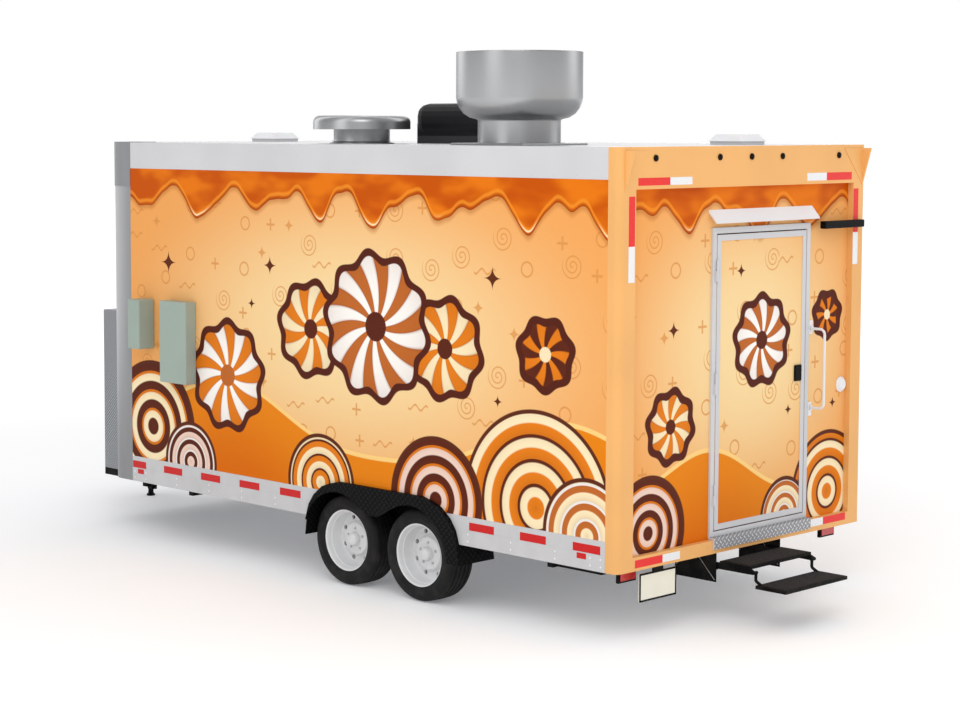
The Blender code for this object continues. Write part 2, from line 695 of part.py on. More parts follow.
def build_rear_door():
    """Door frame with its threshold plate, hinged leaf with raised rails, latch and drip cap."""
    left = DOOR_MIDDLE + DOOR_FRAME_WIDTH / 2
    right = DOOR_MIDDLE - DOOR_FRAME_WIDTH / 2
    back = POST_DEPTH - SEAT_GAP
    ring = prism("x", frame_outline((right, left), (DOOR_FRAME_BOTTOM, DOOR_FRAME_TOP)), -DOOR_FRAME_PROUD, back,
                 [frame_outline((right + DOOR_FRAME_BAND, left - DOOR_FRAME_BAND),
                                (DOOR_FRAME_BOTTOM + DOOR_FRAME_BAND, DOOR_FRAME_TOP - DOOR_FRAME_BAND))])
    sill = BODY_BOTTOM + SILL_HEIGHT + SEAT_GAP
    top = DOOR_FRAME_BOTTOM + THRESHOLD_LIFT
    face = -FRAME_PROUD - DOOR_FRAME_PROUD
    union(ring, box((face, -SEAT_GAP), (right, left), (sill, top)),
          box((face, -FRAME_PROUD - SEAT_GAP), (right, left), (top - THRESHOLD_HEIGHT, top)))
    hinge = (-DOOR_FRAME_PROUD - HINGE_OUT, left - DOOR_FRAME_BAND, 0)
    leaf_left = left - DOOR_FRAME_BAND - DOOR_GAP
    leaf_right = right + DOOR_FRAME_BAND + DOOR_GAP
    leaf_low = DOOR_FRAME_BOTTOM + DOOR_FRAME_BAND + DOOR_GAP
    leaf_high = DOOR_FRAME_TOP - DOOR_FRAME_BAND - DOOR_GAP
    leaf = box((-DOOR_FRAME_PROUD, DOOR_THICK - DOOR_FRAME_PROUD), (leaf_right, leaf_left), (leaf_low, leaf_high))
    cut(leaf, box((-DOOR_FRAME_PROUD - OVERRUN, -DOOR_FRAME_PROUD + DOOR_PANEL_SUNK),
                  (leaf_right + DOOR_RAIL_BAND, leaf_left - DOOR_RAIL_BAND),
                  (leaf_low + DOOR_RAIL_BAND, leaf_high - DOOR_RAIL_BAND)))
    ear = HINGE_RADIUS * 0.9
    for share in HINGE_SHARES:
        z = leaf_low + share * (leaf_high - leaf_low)
        top = z + HINGE_LENGTH
        union(leaf, rod((hinge[0], hinge[1], z + SEAT_GAP), (hinge[0], hinge[1], top), HINGE_RADIUS, 12),
              box((hinge[0] - ear / 2, -DOOR_FRAME_PROUD + OVERRUN / 2), (leaf_left - ear, hinge[1] - ear / 2),
                  (z + SEAT_GAP, top)))
        union(ring, rod((hinge[0], hinge[1], z - HINGE_LENGTH), (hinge[0], hinge[1], z), HINGE_RADIUS, 12),
              box((hinge[0] - ear / 2, -DOOR_FRAME_PROUD + OVERRUN / 2), (hinge[1], hinge[1] + ear * 2),
                  (z - HINGE_LENGTH, z)))
    node("door_frame", smooth(ring), ALUMINIUM)
    node("rear_door", smooth(leaf), WRAP, hinge)

    latch_y = leaf_right + DOOR_RAIL_BAND + LATCH_WIDTH / 2
    latch = box((-DOOR_FRAME_PROUD - LATCH_DEPTH, -DOOR_FRAME_PROUD + DOOR_PANEL_SUNK - SEAT_GAP),
                (latch_y - LATCH_WIDTH / 2 + SEAT_GAP, latch_y + LATCH_WIDTH / 2),
                (LATCH_Z - LATCH_HEIGHT / 2, LATCH_Z + LATCH_HEIGHT / 2))
    node("door_latch", rounded(latch, BOX_ROUND), BLACK_PLASTIC, hinge)

    seat = DOOR_PANEL_SUNK / 2 - SEAT_GAP
    drip = [(seat, DRIP_TOP), (seat, DRIP_TOP - DRIP_THICK * 3), (-DRIP_REACH, DRIP_TOP - DRIP_HEIGHT),
            (-DRIP_REACH - DRIP_THICK, DRIP_TOP - DRIP_HEIGHT + DRIP_THICK)]
    half = DRIP_WIDTH / 2
    cap = prism("y", drip, DOOR_MIDDLE - half, DOOR_MIDDLE + half)
    node("drip_cap", cap, WHITE)


def build_grab_handle():
    """A fold-away grab bar: two arms from the brackets and a long upright grip."""
    pin = (-BRACKET_DEPTH - GRAB_RADIUS - SEAT_GAP, GRAB_Y, 0)
    reach = pin[0] - GRAB_REACH
    bend = GRAB_BEND
    low = GRAB_LOW + GRAB_RADIUS
    high = GRAB_HIGH - GRAB_RADIUS
    line = [(pin[0], low)]
    line += [(reach + bend + x, low + bend + z) for x, z in arc((0, 0), bend, -90, -180, 4)]
    line += [(reach + bend + x, high - bend + z) for x, z in arc((0, 0), bend, 180, 90, 4)]
    line.append((pin[0], high))
    bar = tube([(x, GRAB_Y, z) for x, z in line], GRAB_RADIUS, 2)
    barrel = GRAB_RADIUS
    for z in (low, high):
        union(bar, rod((pin[0], GRAB_Y, z - barrel * 2), (pin[0], GRAB_Y, z + barrel * 2), barrel, 12))
    node("grab_handle", smooth(bar), WHITE, (pin[0], GRAB_Y, GRAB_LOW))


def build_rear_fittings():
    """Black lamp bar, tail lamps and the blank number plate."""
    half = BAR_LAMP_WIDTH / 2
    lamp = box((-FRAME_PROUD - BAR_LAMP_DEPTH, -FRAME_PROUD - SEAT_GAP), (BAR_LAMP_Y - half, BAR_LAMP_Y + half),
               (BAR_LAMP_Z - BAR_LAMP_HEIGHT / 2, BAR_LAMP_Z + BAR_LAMP_HEIGHT / 2))
    node("rear_bar_lamp", rounded(lamp, BOX_ROUND), BLACK_PLASTIC)
    for side, name in ((1, "tail_lamp_left"), (-1, "tail_lamp_right")):
        middle = side * TAIL_LAMP_Y
        width = TAIL_LAMP_WIDTH / 2
        top = BODY_BOTTOM - SEAT_GAP
        housing = box((TAIL_LAMP_X, TAIL_LAMP_X + TAIL_LAMP_DEPTH), (middle - width, middle + width),
                      (top - TAIL_LAMP_HEIGHT, top))
        lens = box((TAIL_LAMP_X - BOX_ROUND, TAIL_LAMP_X + OVERRUN),
                   (middle - width + BOX_ROUND * 2, middle + width - BOX_ROUND * 2),
                   (top - TAIL_LAMP_HEIGHT + BOX_ROUND * 2, top - BOX_ROUND * 2))
        node(name, union(housing, lens), RED_LENS)
    plate_half = PLATE_WIDTH / 2
    plate = box((0, PLATE_THICK), (PLATE_Y - plate_half, PLATE_Y + plate_half),
                (PLATE_BOTTOM, PLATE_BOTTOM + PLATE_HEIGHT))
    tab = box((PLATE_THICK / 4, PLATE_THICK), (PLATE_Y - PLATE_TAB_WIDTH / 2, PLATE_Y + PLATE_TAB_WIDTH / 2),
              (PLATE_BOTTOM + PLATE_HEIGHT - OVERRUN, BODY_BOTTOM - SEAT_GAP))
    node("number_plate", union(plate, tab), WHITE)


def build_chassis():
    """Main rails, cross members with outriggers and the four folded stabiliser legs."""
    top = BODY_BOTTOM - SEAT_GAP
    low = top - RAIL_HEIGHT
    half = RAIL_WIDTH / 2
    end = BODY_LENGTH - WALL
    chassis = box((RAIL_START, end), (RAIL_Y - half, RAIL_Y + half), (low, top))
    union(chassis, box((RAIL_START, end), (-RAIL_Y - half, -RAIL_Y + half), (low, top)))
    reach = RAIL_Y + half / 2
    for x in CROSS_PLACES:
        wide = OUTRIGGER_HALF if x in (CROSS_PLACES[0], CROSS_PLACES[-1]) else reach
        union(chassis, box((x, x + CROSS_WIDTH), (-wide, wide), (top - CROSS_HEIGHT, top)))
    leg_x = LEG_FRONT_X
    union(chassis, box((leg_x - CROSS_WIDTH / 2, leg_x + CROSS_WIDTH / 2), (-OUTRIGGER_HALF, OUTRIGGER_HALF),
                       (top - CROSS_HEIGHT, top)))
    size = LEG_SIZE * LEG_FOLDED_SHARE / 2
    for side in (1, -1):
        for end_x, leg_y in ((CROSS_PLACES[0] + CROSS_WIDTH, side * LEG_Y), (leg_x, side * LEG_FRONT_Y)):
            union(chassis, box((end_x - FOLDED_LEG_LENGTH, end_x), (leg_y - size, leg_y + size),
                               (top - CROSS_HEIGHT + OVERRUN / 2, top - OVERRUN)))
    node("chassis", chassis, BLACK_STEEL)


def build_tongue():
    """A-frame tongue butted to the main rails, with the cabinet's base ring and the jack plate."""
    half = RAIL_WIDTH / 2
    start = BODY_LENGTH - WALL + SEAT_GAP
    top = BODY_BOTTOM - SEAT_GAP - TONGUE_DROP
    low = top - RAIL_HEIGHT
    tongue = None
    for side in (1, -1):
        bar = [(start, side * (RAIL_Y - half)), (start, side * (RAIL_Y + half)),
               (start + RAIL_WIDTH, side * (RAIL_Y + half)), (TONGUE_TIP, side * TONGUE_TIP_HALF),
               (TONGUE_TIP, side * -OVERRUN), (TONGUE_TIP - RAIL_WIDTH * 2, side * -OVERRUN)]
        made = prism("z", bar, low, top)
        tongue = made if tongue is None else union(tongue, made)
    base_start = BODY_LENGTH + CABINET_GAP
    base_top = CABINET_BOTTOM - SEAT_GAP
    ring = prism("z", frame_outline((base_start, base_start + CABINET_DEPTH), (-CABINET_HALF, CABINET_HALF)),
                 base_top - BASE_HEIGHT, base_top,
                 [frame_outline((base_start + BASE_WIDTH, base_start + CABINET_DEPTH - BASE_WIDTH),
                                (-CABINET_HALF + BASE_WIDTH, CABINET_HALF - BASE_WIDTH))])
    union(tongue, ring)
    plate_half = JACK_PLATE_LENGTH / 2
    union(tongue, box((JACK_X - plate_half, JACK_X + plate_half), (-plate_half, plate_half),
                      (top - JACK_PLATE_THICK / 2, top + JACK_PLATE_THICK / 2)))
    cut(tongue, rod((JACK_X, 0, 0), (JACK_X, 0, BODY_BOTTOM + OVERRUN), JACK_TUBE_RADIUS + SEAT_GAP, 20))
    node("tongue", tongue, BLACK_STEEL)
    return top


def build_coupler(tongue_top):
    """Pressed coupler with its round nose and ball socket, on the tongue's tip."""
    half = COUPLER_WIDTH / 2
    start = TONGUE_TIP + SEAT_GAP
    nose = TONGUE_TIP + COUPLER_LENGTH - COUPLER_NOSE_RADIUS
    outline = [(start, -half)] + arc((nose, 0), COUPLER_NOSE_RADIUS, -60, 60, 8) + [(start, half)]
    low = tongue_top - COUPLER_HEIGHT
    body = prism("z", outline, low, tongue_top)
    cut(body, rod((nose, 0, low - OVERRUN), (nose, 0, low + BALL_SOCKET_DEPTH), BALL_SOCKET_RADIUS, 16))
    latch = box((start + half, start + half * 3), (-half / 4, half / 4), (tongue_top - OVERRUN, tongue_top + half))
    node("coupler", rounded(union(body, latch), BOX_ROUND / 2, 1), BLACK_STEEL)


def build_jack(tongue_top):
    """Tongue jack with its flange, lowered leg, foot plate and crank."""
    seat = tongue_top + JACK_PLATE_THICK / 2 + SEAT_GAP
    jack = turned([(0, JACK_TOP), (JACK_TUBE_RADIUS, JACK_TOP), (JACK_TUBE_RADIUS, seat + JACK_FLANGE_THICK),
                   (JACK_FLANGE_RADIUS, seat + JACK_FLANGE_THICK), (JACK_FLANGE_RADIUS, seat),
                   (JACK_TUBE_RADIUS, seat), (JACK_TUBE_RADIUS, JACK_TUBE_BOTTOM),
                   (JACK_LEG_RADIUS, JACK_TUBE_BOTTOM), (JACK_LEG_RADIUS, JACK_FOOT_THICK * 2),
                   (JACK_FOOT_RADIUS, JACK_FOOT_THICK), (JACK_FOOT_RADIUS, 0), (0, 0)], 20,
                  Matrix.Translation((JACK_X, 0, 0)))
    crank_z = JACK_TOP - JACK_TUBE_RADIUS
    elbow = JACK_X + JACK_CRANK_REACH
    crank = tube([(JACK_X, 0, crank_z), (elbow, 0, crank_z), (elbow, 0, crank_z + JACK_KNOB_HEIGHT)],
                 JACK_CRANK_RADIUS, 2)
    node("tongue_jack", smooth(union(jack, crank)), BLACK_STEEL)


def build_axle(name, wheel_x):
    """Torsion axle: square tube under the rails, trailing arms, backing plates and spindles."""
    top = BODY_BOTTOM - RAIL_HEIGHT - SEAT_GAP * 2
    half = AXLE_SIZE / 2
    tube_x = wheel_x + AXLE_AHEAD
    tube_z = top - half
    inner_face = WHEEL_Y - RIM_WIDTH / 2
    arm_y = inner_face - BACKPLATE_THICK - AXLE_ARM_THICK - MOVE_GAP
    plate_y = arm_y + AXLE_ARM_THICK
    axle = box((tube_x - half, tube_x + half), (-arm_y - OVERRUN / 2, arm_y + OVERRUN / 2), (top - AXLE_SIZE, top))
    for side in (1, -1):
        pad = AXLE_PAD_LENGTH / 2
        union(axle, box((tube_x - pad, tube_x + pad), (side * (RAIL_Y - half), side * (RAIL_Y + half)),
                        (top - OVERRUN, top)))
        arm = [(tube_x + half, tube_z + half), (wheel_x - AXLE_ARM_HEIGHT / 2, TYRE_RADIUS + AXLE_ARM_HEIGHT / 2),
               (wheel_x - AXLE_ARM_HEIGHT / 2, TYRE_RADIUS - AXLE_ARM_HEIGHT / 2), (tube_x + half, tube_z - half)]
        low = side * arm_y
        high = side * plate_y
        union(axle, prism("y", arm, min(low, high), max(low, high)),
              rod((wheel_x, side * (plate_y - OVERRUN), TYRE_RADIUS),
                  (wheel_x, side * (plate_y + BACKPLATE_THICK), TYRE_RADIUS), BACKPLATE_RADIUS, 20),
              rod((wheel_x, side * plate_y, TYRE_RADIUS),
                  (wheel_x, side * (WHEEL_Y + RIM_WIDTH * 0.02), TYRE_RADIUS), SPINDLE_RADIUS, 20))
    node(name, smooth(axle), BLACK_STEEL)


def wheel_profile():
    """Steel disc wheel: hub cap, flat centre, dished disc, stepped barrel with two lips, hub barrel."""
    lip = RIM_WIDTH / 2
    rim = RIM_RADIUS
    seat = SEAT_RADIUS
    return [(0, lip * 0.98), (rim * 0.12, lip * 0.94), (rim * 0.19, lip * 0.75), (rim * 0.2, lip * 0.42),
            (rim * 0.5, lip * 0.4), (rim * 0.56, lip * 0.3), (rim * 0.64, lip * 0.12), (rim * 0.76, lip * 0.12),
            (rim * 0.82, lip * 0.3), (rim * 0.88, lip * 0.68), (rim * 0.9, lip * 0.96), (rim, lip),
            (rim, lip * 0.96), (seat, lip * 0.94), (seat, lip * 0.8), (seat - rim * 0.07, lip * 0.5),
            (seat - rim * 0.07, -lip * 0.5), (seat, -lip * 0.8), (seat, -lip * 0.94), (rim, -lip * 0.96),
            (rim, -lip), (rim * 0.88, -lip * 0.96), (rim * 0.8, -lip * 0.5), (rim * 0.78, 0),
            (rim * 0.6, -lip * 0.05), (rim * 0.5, lip * 0.2), (rim * 0.3, lip * 0.2), (rim * 0.26, -lip * 0.85),
            (HUB_BORE, -lip * 0.85), (HUB_BORE, lip * 0.1), (0, lip * 0.1)]


def tyre_profile():
    """Plain tyre: beads on the seat, round sidewalls, soft shoulders and a low crown."""
    half = TYRE_WIDTH / 2
    bead = SEAT_RADIUS + SEAT_GAP
    inside = RIM_WIDTH / 2 * 0.94 - SEAT_GAP * 4
    rise = TYRE_RADIUS - bead
    side = [(bead, inside), (bead + rise * 0.16, inside), (bead + rise * 0.2, half * 0.93),
            (bead + rise * 0.45, half), (bead + rise * 0.75, half * 0.95),
            (bead + rise * 0.93, half * 0.82), (TYRE_RADIUS - rise * 0.01, half * 0.62), (TYRE_RADIUS, 0)]
    mirrored = [(r, -z) for r, z in reversed(side[:-1])]
    return side + mirrored


def build_wheels():
    """Four wheels with their tyres, each turning on its spindle."""
    for place, x in (("front", WHEEL_REAR_X + WHEEL_SPACING), ("rear", WHEEL_REAR_X)):
        for side, hand in ((1, "left"), (-1, "right")):
            centre = (x, side * WHEEL_Y, TYRE_RADIUS)
            spot = Matrix.Translation(centre) @ Matrix.Rotation(radians(-90 * side), 4, "X")
            disc = turned(wheel_profile(), WHEEL_STEPS, spot)
            holes = []
            for i in range(HAND_HOLES):
                turn = 2 * pi * (i + 0.5) / HAND_HOLES
                hole = (x + HAND_HOLE_CIRCLE * cos(turn), TYRE_RADIUS + HAND_HOLE_CIRCLE * sin(turn))
                depth = RIM_WIDTH / 4
                holes.append(rod((hole[0], side * (WHEEL_Y - depth), hole[1]),
                                 (hole[0], side * (WHEEL_Y + depth), hole[1]), HAND_HOLE_RADIUS, 8))
            cut(disc, *holes)
            node(f"wheel_{place}_{hand}", smooth(disc), SILVER, centre)
            tread = turned(tyre_profile(), WHEEL_STEPS, spot, closed=True)
            node(f"tyre_{place}_{hand}", smooth(tread), RUBBER, centre)
        build_axle(f"axle_{place}", x)


def build_fenders():
    """Tandem fenders: an open-bottomed pan under the body and an outer valance with two arches."""
    for side, name in ((1, "fender_left"), (-1, "fender_right")):
        outer = side * (HALF + FENDER_OUT)
        inner = side * FENDER_INNER_Y
        pan = prism("y", fender_outline(), min(inner, outer), max(inner, outer))
        hollow = prism("y", fender_outline(-FENDER_SKIN, OVERRUN),
                       min(inner + side * FENDER_SKIN, outer - side * FENDER_SKIN),
                       max(inner + side * FENDER_SKIN, outer - side * FENDER_SKIN))
        cut(pan, hollow)
        face = sorted((outer - side * FENDER_SKIN * 2, outer + side * OVERRUN))
        cut(pan, prism("y", arch_outline(), *face))
        front_x = WHEEL_REAR_X + WHEEL_SPACING
        rail_cut = (side * (FENDER_INNER_Y - OVERRUN), side * (FENDER_INNER_Y + FENDER_SKIN * 2))
        for x in (WHEEL_REAR_X, front_x):
            tube_x = x + AXLE_AHEAD
            room = AXLE_SIZE
            cut(pan, box((x - room, tube_x + room), rail_cut, (FENDER_BOTTOM - OVERRUN, BODY_BOTTOM)))
        node(name, pan, DIAMOND_BLACK)


def build_steps():
    """Side plates under the body, the fixed upper tread on its runners, and the folding lower tread."""
    top = BODY_BOTTOM - SEAT_GAP
    start = STEP_PLATE_START
    end = start + STEP_PLATE_LENGTH
    frame = None
    for y in (STEP_LEFT, STEP_RIGHT):
        inward = -1 if y > 0 else 1
        sheet = box((start, end), (y, y + inward * STEP_PLATE_THICK), (STEP_PLATE_BOTTOM, top))
        frame = sheet if frame is None else union(frame, sheet)
    union(frame, box((end - CROSS_HEIGHT, end), (STEP_RIGHT, STEP_LEFT), (top - STEP_PLATE_THICK, top)))
    runner_low = UPPER_TREAD_Z - TREAD_THICK - STEP_RUNNER_HEIGHT
    runner_high = UPPER_TREAD_Z - TREAD_THICK
    tread_left = STEP_LEFT - STEP_PLATE_THICK - MOVE_GAP
    tread_right = STEP_RIGHT + STEP_PLATE_THICK + MOVE_GAP
    upper_end = UPPER_TREAD_X - TREAD_DEPTH
    for y, inward in ((STEP_LEFT - STEP_PLATE_THICK, -1), (STEP_RIGHT + STEP_PLATE_THICK, 1)):
        ledge = (y - inward * STEP_PLATE_THICK / 2, y + inward * (MOVE_GAP + STEP_RUNNER_WIDTH))
        union(frame, box((start, end), ledge, (runner_low - SEAT_GAP - STEP_PLATE_THICK, runner_low - SEAT_GAP)))
    node("step_frame", frame, BLACK_STEEL)

    tread = box((upper_end, UPPER_TREAD_X), (tread_right, tread_left), (UPPER_TREAD_Z - TREAD_THICK, UPPER_TREAD_Z))
    for y, inward in ((tread_left, -1), (tread_right, 1)):
        union(tread, box((upper_end, UPPER_TREAD_X + STEP_RUNNER_LENGTH), (y, y + inward * STEP_RUNNER_WIDTH),
                         (runner_low, runner_high + TREAD_THICK / 2)))
    hinge = (upper_end - STEP_HINGE_BACK, 0, STEP_HINGE_Z)
    lug = STEP_HINGE_RADIUS
    lug_y = []
    for y, inward in ((tread_left, -1), (tread_right, 1)):
        inner = y + inward * TREAD_SIDE
        lug_y.append((inner, inward))
        cheek = [(hinge[0], hinge[2] + lug), (hinge[0], hinge[2] - lug), (upper_end + TREAD_SIDE, hinge[2] - lug),
                 (upper_end + TREAD_SIDE * 2, runner_high + TREAD_THICK / 2),
                 (upper_end + lug, runner_high + TREAD_THICK / 2)]
        union(tread, rod((hinge[0], y, hinge[2]), (hinge[0], inner, hinge[2]), lug, 12),
              prism("y", cheek, min(y, inner), max(y, inner)))
    node("step_upper", tread, BLACK_STEEL)

    lower_end = LOWER_TREAD_X - TREAD_DEPTH
    lower = box((lower_end, LOWER_TREAD_X), (tread_right, tread_left), (LOWER_TREAD_Z - TREAD_THICK, LOWER_TREAD_Z))
    for inner, inward in lug_y:
        y = inner + inward * (SEAT_GAP + STEP_LEG_RADIUS)
        foot = (LOWER_TREAD_X - STEP_LEG_RADIUS * 3, LOWER_TREAD_Z - TREAD_THICK / 2)
        knee = hinge[2] - STEP_LEG_STRAIGHT
        line = [(hinge[0], y, hinge[2])]
        for share in (0, 0.25, 0.5, 0.75, 1):
            bow = (hinge[0] - foot[0]) * sin(pi * share / 2) ** 2
            line.append((hinge[0] - bow, y, knee - (knee - foot[1]) * share))
        union(lower, tube(line, STEP_LEG_RADIUS, 2),
              rod((hinge[0], inner + inward * SEAT_GAP, hinge[2]),
                  (hinge[0], inner + inward * (SEAT_GAP + STEP_LEG_RADIUS * 2), hinge[2]), lug, 12))
    node("step_lower", lower, BLACK_STEEL, hinge)


def build_serving_side():
    """Window frame with its mullions, glass, top-hinged hatch and fold-up shelf."""
    x_low = WINDOW_START
    x_high = WINDOW_START + WINDOW_LENGTH
    z_low = WINDOW_BOTTOM
    z_high = WINDOW_BOTTOM + WINDOW_HEIGHT
    face = -HALF - WINDOW_PROUD
    back = face + WINDOW_DEPTH
    band = WINDOW_BAND
    frame = prism("y", frame_outline((x_low, x_high), (z_low, z_high)), face, back,
                  [frame_outline((x_low + band, x_high - band), (z_low + band, z_high - band))])
    glass_y = face + WINDOW_DEPTH * GLASS_SHARE
    lip = band + WINDOW_LIP
    inner_ring = prism("y", frame_outline((x_low + band / 2, x_high - band / 2), (z_low + band / 2, z_high - band / 2)),
                       glass_y - GLASS_THICK - WINDOW_PROUD, back,
                       [frame_outline((x_low + lip, x_high - lip), (z_low + lip, z_high - lip))])
    union(frame, inner_ring)
    middle = (x_low + x_high) / 2
    quarter = WINDOW_LENGTH / 4
    for x in (middle - quarter, middle, middle + quarter):
        union(frame, box((x - WINDOW_MULLION / 2, x + WINDOW_MULLION / 2),
                         (glass_y - GLASS_THICK - WINDOW_PROUD, back), (z_low + lip / 2 + band / 2, z_high - band)))
    groove = WINDOW_LIP / 2
    pane = (x_low + lip - groove, x_high - lip + groove)
    pane_z = (z_low + lip - groove, z_high - lip + groove)
    room = SEAT_GAP
    cut(frame, box((pane[0] - room, pane[1] + room), (glass_y - GLASS_THICK - room, glass_y + room),
                   (pane_z[0] - room, pane_z[1] + room)))

    hatch_gap = MOVE_GAP
    hatch_x = (x_low + band + hatch_gap, x_high - band - hatch_gap)
    hatch_z = (z_low + band + hatch_gap, z_high - band - hatch_gap)
    hinge = (middle, face - HATCH_HINGE_OUT, z_high - band / 2)
    hatch = box(hatch_x, (face, face + HATCH_THICK), hatch_z)
    for share in HINGE_SHARES:
        x = hatch_x[0] + share * (hatch_x[1] - hatch_x[0])
        union(hatch, rod((x + SEAT_GAP, hinge[1], hinge[2]), (x + HINGE_LENGTH, hinge[1], hinge[2]), HINGE_RADIUS, 12),
              prism("x", [(hinge[1], hinge[2] + HINGE_RADIUS / 2), (hinge[1] - HINGE_RADIUS / 2, hinge[2]),
                          (face - HINGE_RADIUS / 2, hatch_z[1] - band), (face + HINGE_RADIUS / 2, hatch_z[1] - band),
                          (face + HINGE_RADIUS / 2, hatch_z[1] - hatch_gap)], x + SEAT_GAP, x + HINGE_LENGTH))
        union(frame, rod((x - HINGE_LENGTH, hinge[1], hinge[2]), (x, hinge[1], hinge[2]), HINGE_RADIUS, 12),
              box((x - HINGE_LENGTH, x), (hinge[1], face + HINGE_RADIUS / 2),
                  (hinge[2] - HINGE_RADIUS / 2, hinge[2] + HINGE_RADIUS / 2)))
    node("serving_window", frame, ALUMINIUM)
    node("window_glass", box(pane, (glass_y - GLASS_THICK, glass_y), pane_z), GLASS)
    node("serving_hatch", smooth(hatch), WRAP, hinge)
    build_shelf(x_low, x_high, z_low)


def build_shelf(x_low, x_high, z_low):
    """Outside counter shelf, hanging folded below the window on its hinge line."""
    top = z_low - SHELF_DROP
    axis_y = -HALF - SHELF_HINGE_RADIUS - SEAT_GAP
    hinge = ((x_low + x_high) / 2, axis_y, top)
    back = -HALF - SHELF_BACK_GAP
    shelf = box((x_low, x_high), (back - SHELF_THICK, back), (top - SHELF_DEPTH, top - SHELF_HINGE_RADIUS * 2))
    union(shelf, rod((x_low, axis_y, top), (x_high, axis_y, top), SHELF_HINGE_RADIUS, 12),
          box((x_low, x_high), (back - SHELF_THICK / 2, axis_y + SHELF_HINGE_RADIUS / 2),
              (top - SHELF_HINGE_RADIUS * 3, top)))
    node("counter_shelf", shelf, ALUMINIUM, hinge)


def build_wall_boxes():
    """Two plain service boxes on the left wall."""
    face = HALF + SEAT_GAP
    small = box((SMALL_BOX_X, SMALL_BOX_X + SMALL_BOX_LENGTH), (face, HALF + SMALL_BOX_DEPTH),
                (SMALL_BOX_BOTTOM, SMALL_BOX_BOTTOM + SMALL_BOX_HEIGHT))
    node("service_box_small", rounded(small, BOX_ROUND), BOX_GREEN)
    large = box((LARGE_BOX_X, LARGE_BOX_X + LARGE_BOX_LENGTH), (face, HALF + LARGE_BOX_DEPTH),
                (LARGE_BOX_BOTTOM, LARGE_BOX_BOTTOM + LARGE_BOX_HEIGHT))
    node("service_box_large", rounded(large, BOX_ROUND), BOX_GREEN)


def build_cabinet():
    """Front cabinet for the generator and gas bottles, with two doors towards the tongue."""
    start = BODY_LENGTH + CABINET_GAP
    end = start + CABINET_DEPTH
    half = CABINET_HALF
    wall = CABINET_WALL
    low = CABINET_BOTTOM
    high = CABINET_TOP
    shell = box((start, end), (-half, half), (low, high))
    cut(shell, box((start + wall, end - wall), (-half + wall, half - wall), (low + wall, high - wall)))
    mouth = half - CABINET_FRAME
    mouth_z = (low + CABINET_FRAME, high - CABINET_FRAME)
    cut(shell, box((end - wall * 2, end + OVERRUN), (-mouth, mouth), mouth_z))
    for side, name in ((1, "cabinet_door_left"), (-1, "cabinet_door_right")):
        hinge = (end + CABINET_HINGE_RADIUS + SEAT_GAP, side * mouth, mouth_z[0])
        edge = side * (mouth - MOVE_GAP)
        leaf = box((end - CABINET_DOOR_THICK, end), (side * MOVE_GAP / 2, edge),
                   (mouth_z[0] + MOVE_GAP, mouth_z[1] - MOVE_GAP))
        for share in HINGE_SHARES:
            z = mouth_z[0] + share * (mouth_z[1] - mouth_z[0])
            radius = CABINET_HINGE_RADIUS
            union(leaf, rod((hinge[0], hinge[1], z + SEAT_GAP), (hinge[0], hinge[1], z + HINGE_LENGTH), radius, 12),
                  box((end - radius / 2, hinge[0]), (edge - side * radius, hinge[1] - side * radius / 2),
                      (z + SEAT_GAP, z + HINGE_LENGTH)))
            union(shell, rod((hinge[0], hinge[1], z - HINGE_LENGTH), (hinge[0], hinge[1], z), radius, 12),
                  box((end - radius / 2, hinge[0]), (hinge[1], hinge[1] + side * radius * 2), (z - HINGE_LENGTH, z)))
        node(name, smooth(leaf), ALUMINIUM, hinge)
    node("front_cabinet", shell, ALUMINIUM)


def build_fan():
    """Upblast exhaust fan: square curb, neck, round-bottomed bowl and the motor dome inside."""
    seat = BODY_TOP + SEAT_GAP
    curb_top = BODY_TOP + FAN_CURB_HEIGHT
    rise = FAN_BOWL_STRAIGHT - FAN_BOWL_BOTTOM
    run = FAN_RADIUS - FAN_NECK_RADIUS
    outer = [(FAN_RADIUS - run * (1 - cos(radians(a))), FAN_BOWL_STRAIGHT - rise * sin(radians(a)))
             for a in (0, 22, 44, 66, 90)]
    inner = [(r - FAN_SHEET, z + FAN_SHEET) for r, z in outer]
    dome = [(0, FAN_DOME_TOP), (FAN_DOME_RADIUS * 0.6, FAN_DOME_TOP), (FAN_DOME_RADIUS * 0.93, FAN_DOME_TOP - FAN_SHEET * 3),
            (FAN_DOME_RADIUS, FAN_DOME_TOP - FAN_SHEET * 8), (FAN_DOME_RADIUS, FAN_BOWL_BOTTOM + FAN_SHEET)]
    profile = dome + list(reversed(inner)) + [(FAN_RADIUS - FAN_SHEET, FAN_TOP), (FAN_RADIUS, FAN_TOP)] + outer
    profile += [(FAN_NECK_RADIUS, curb_top - FAN_SHEET), (0, curb_top - FAN_SHEET)]
    fan = turned(profile, FAN_STEPS, Matrix.Translation((FAN_X, FAN_Y, 0)))
    half = FAN_CURB / 2
    union(fan, box((FAN_X - half, FAN_X + half), (FAN_Y - half, FAN_Y + half), (seat, curb_top)))
    node("exhaust_fan", smooth(fan), ALUMINIUM)


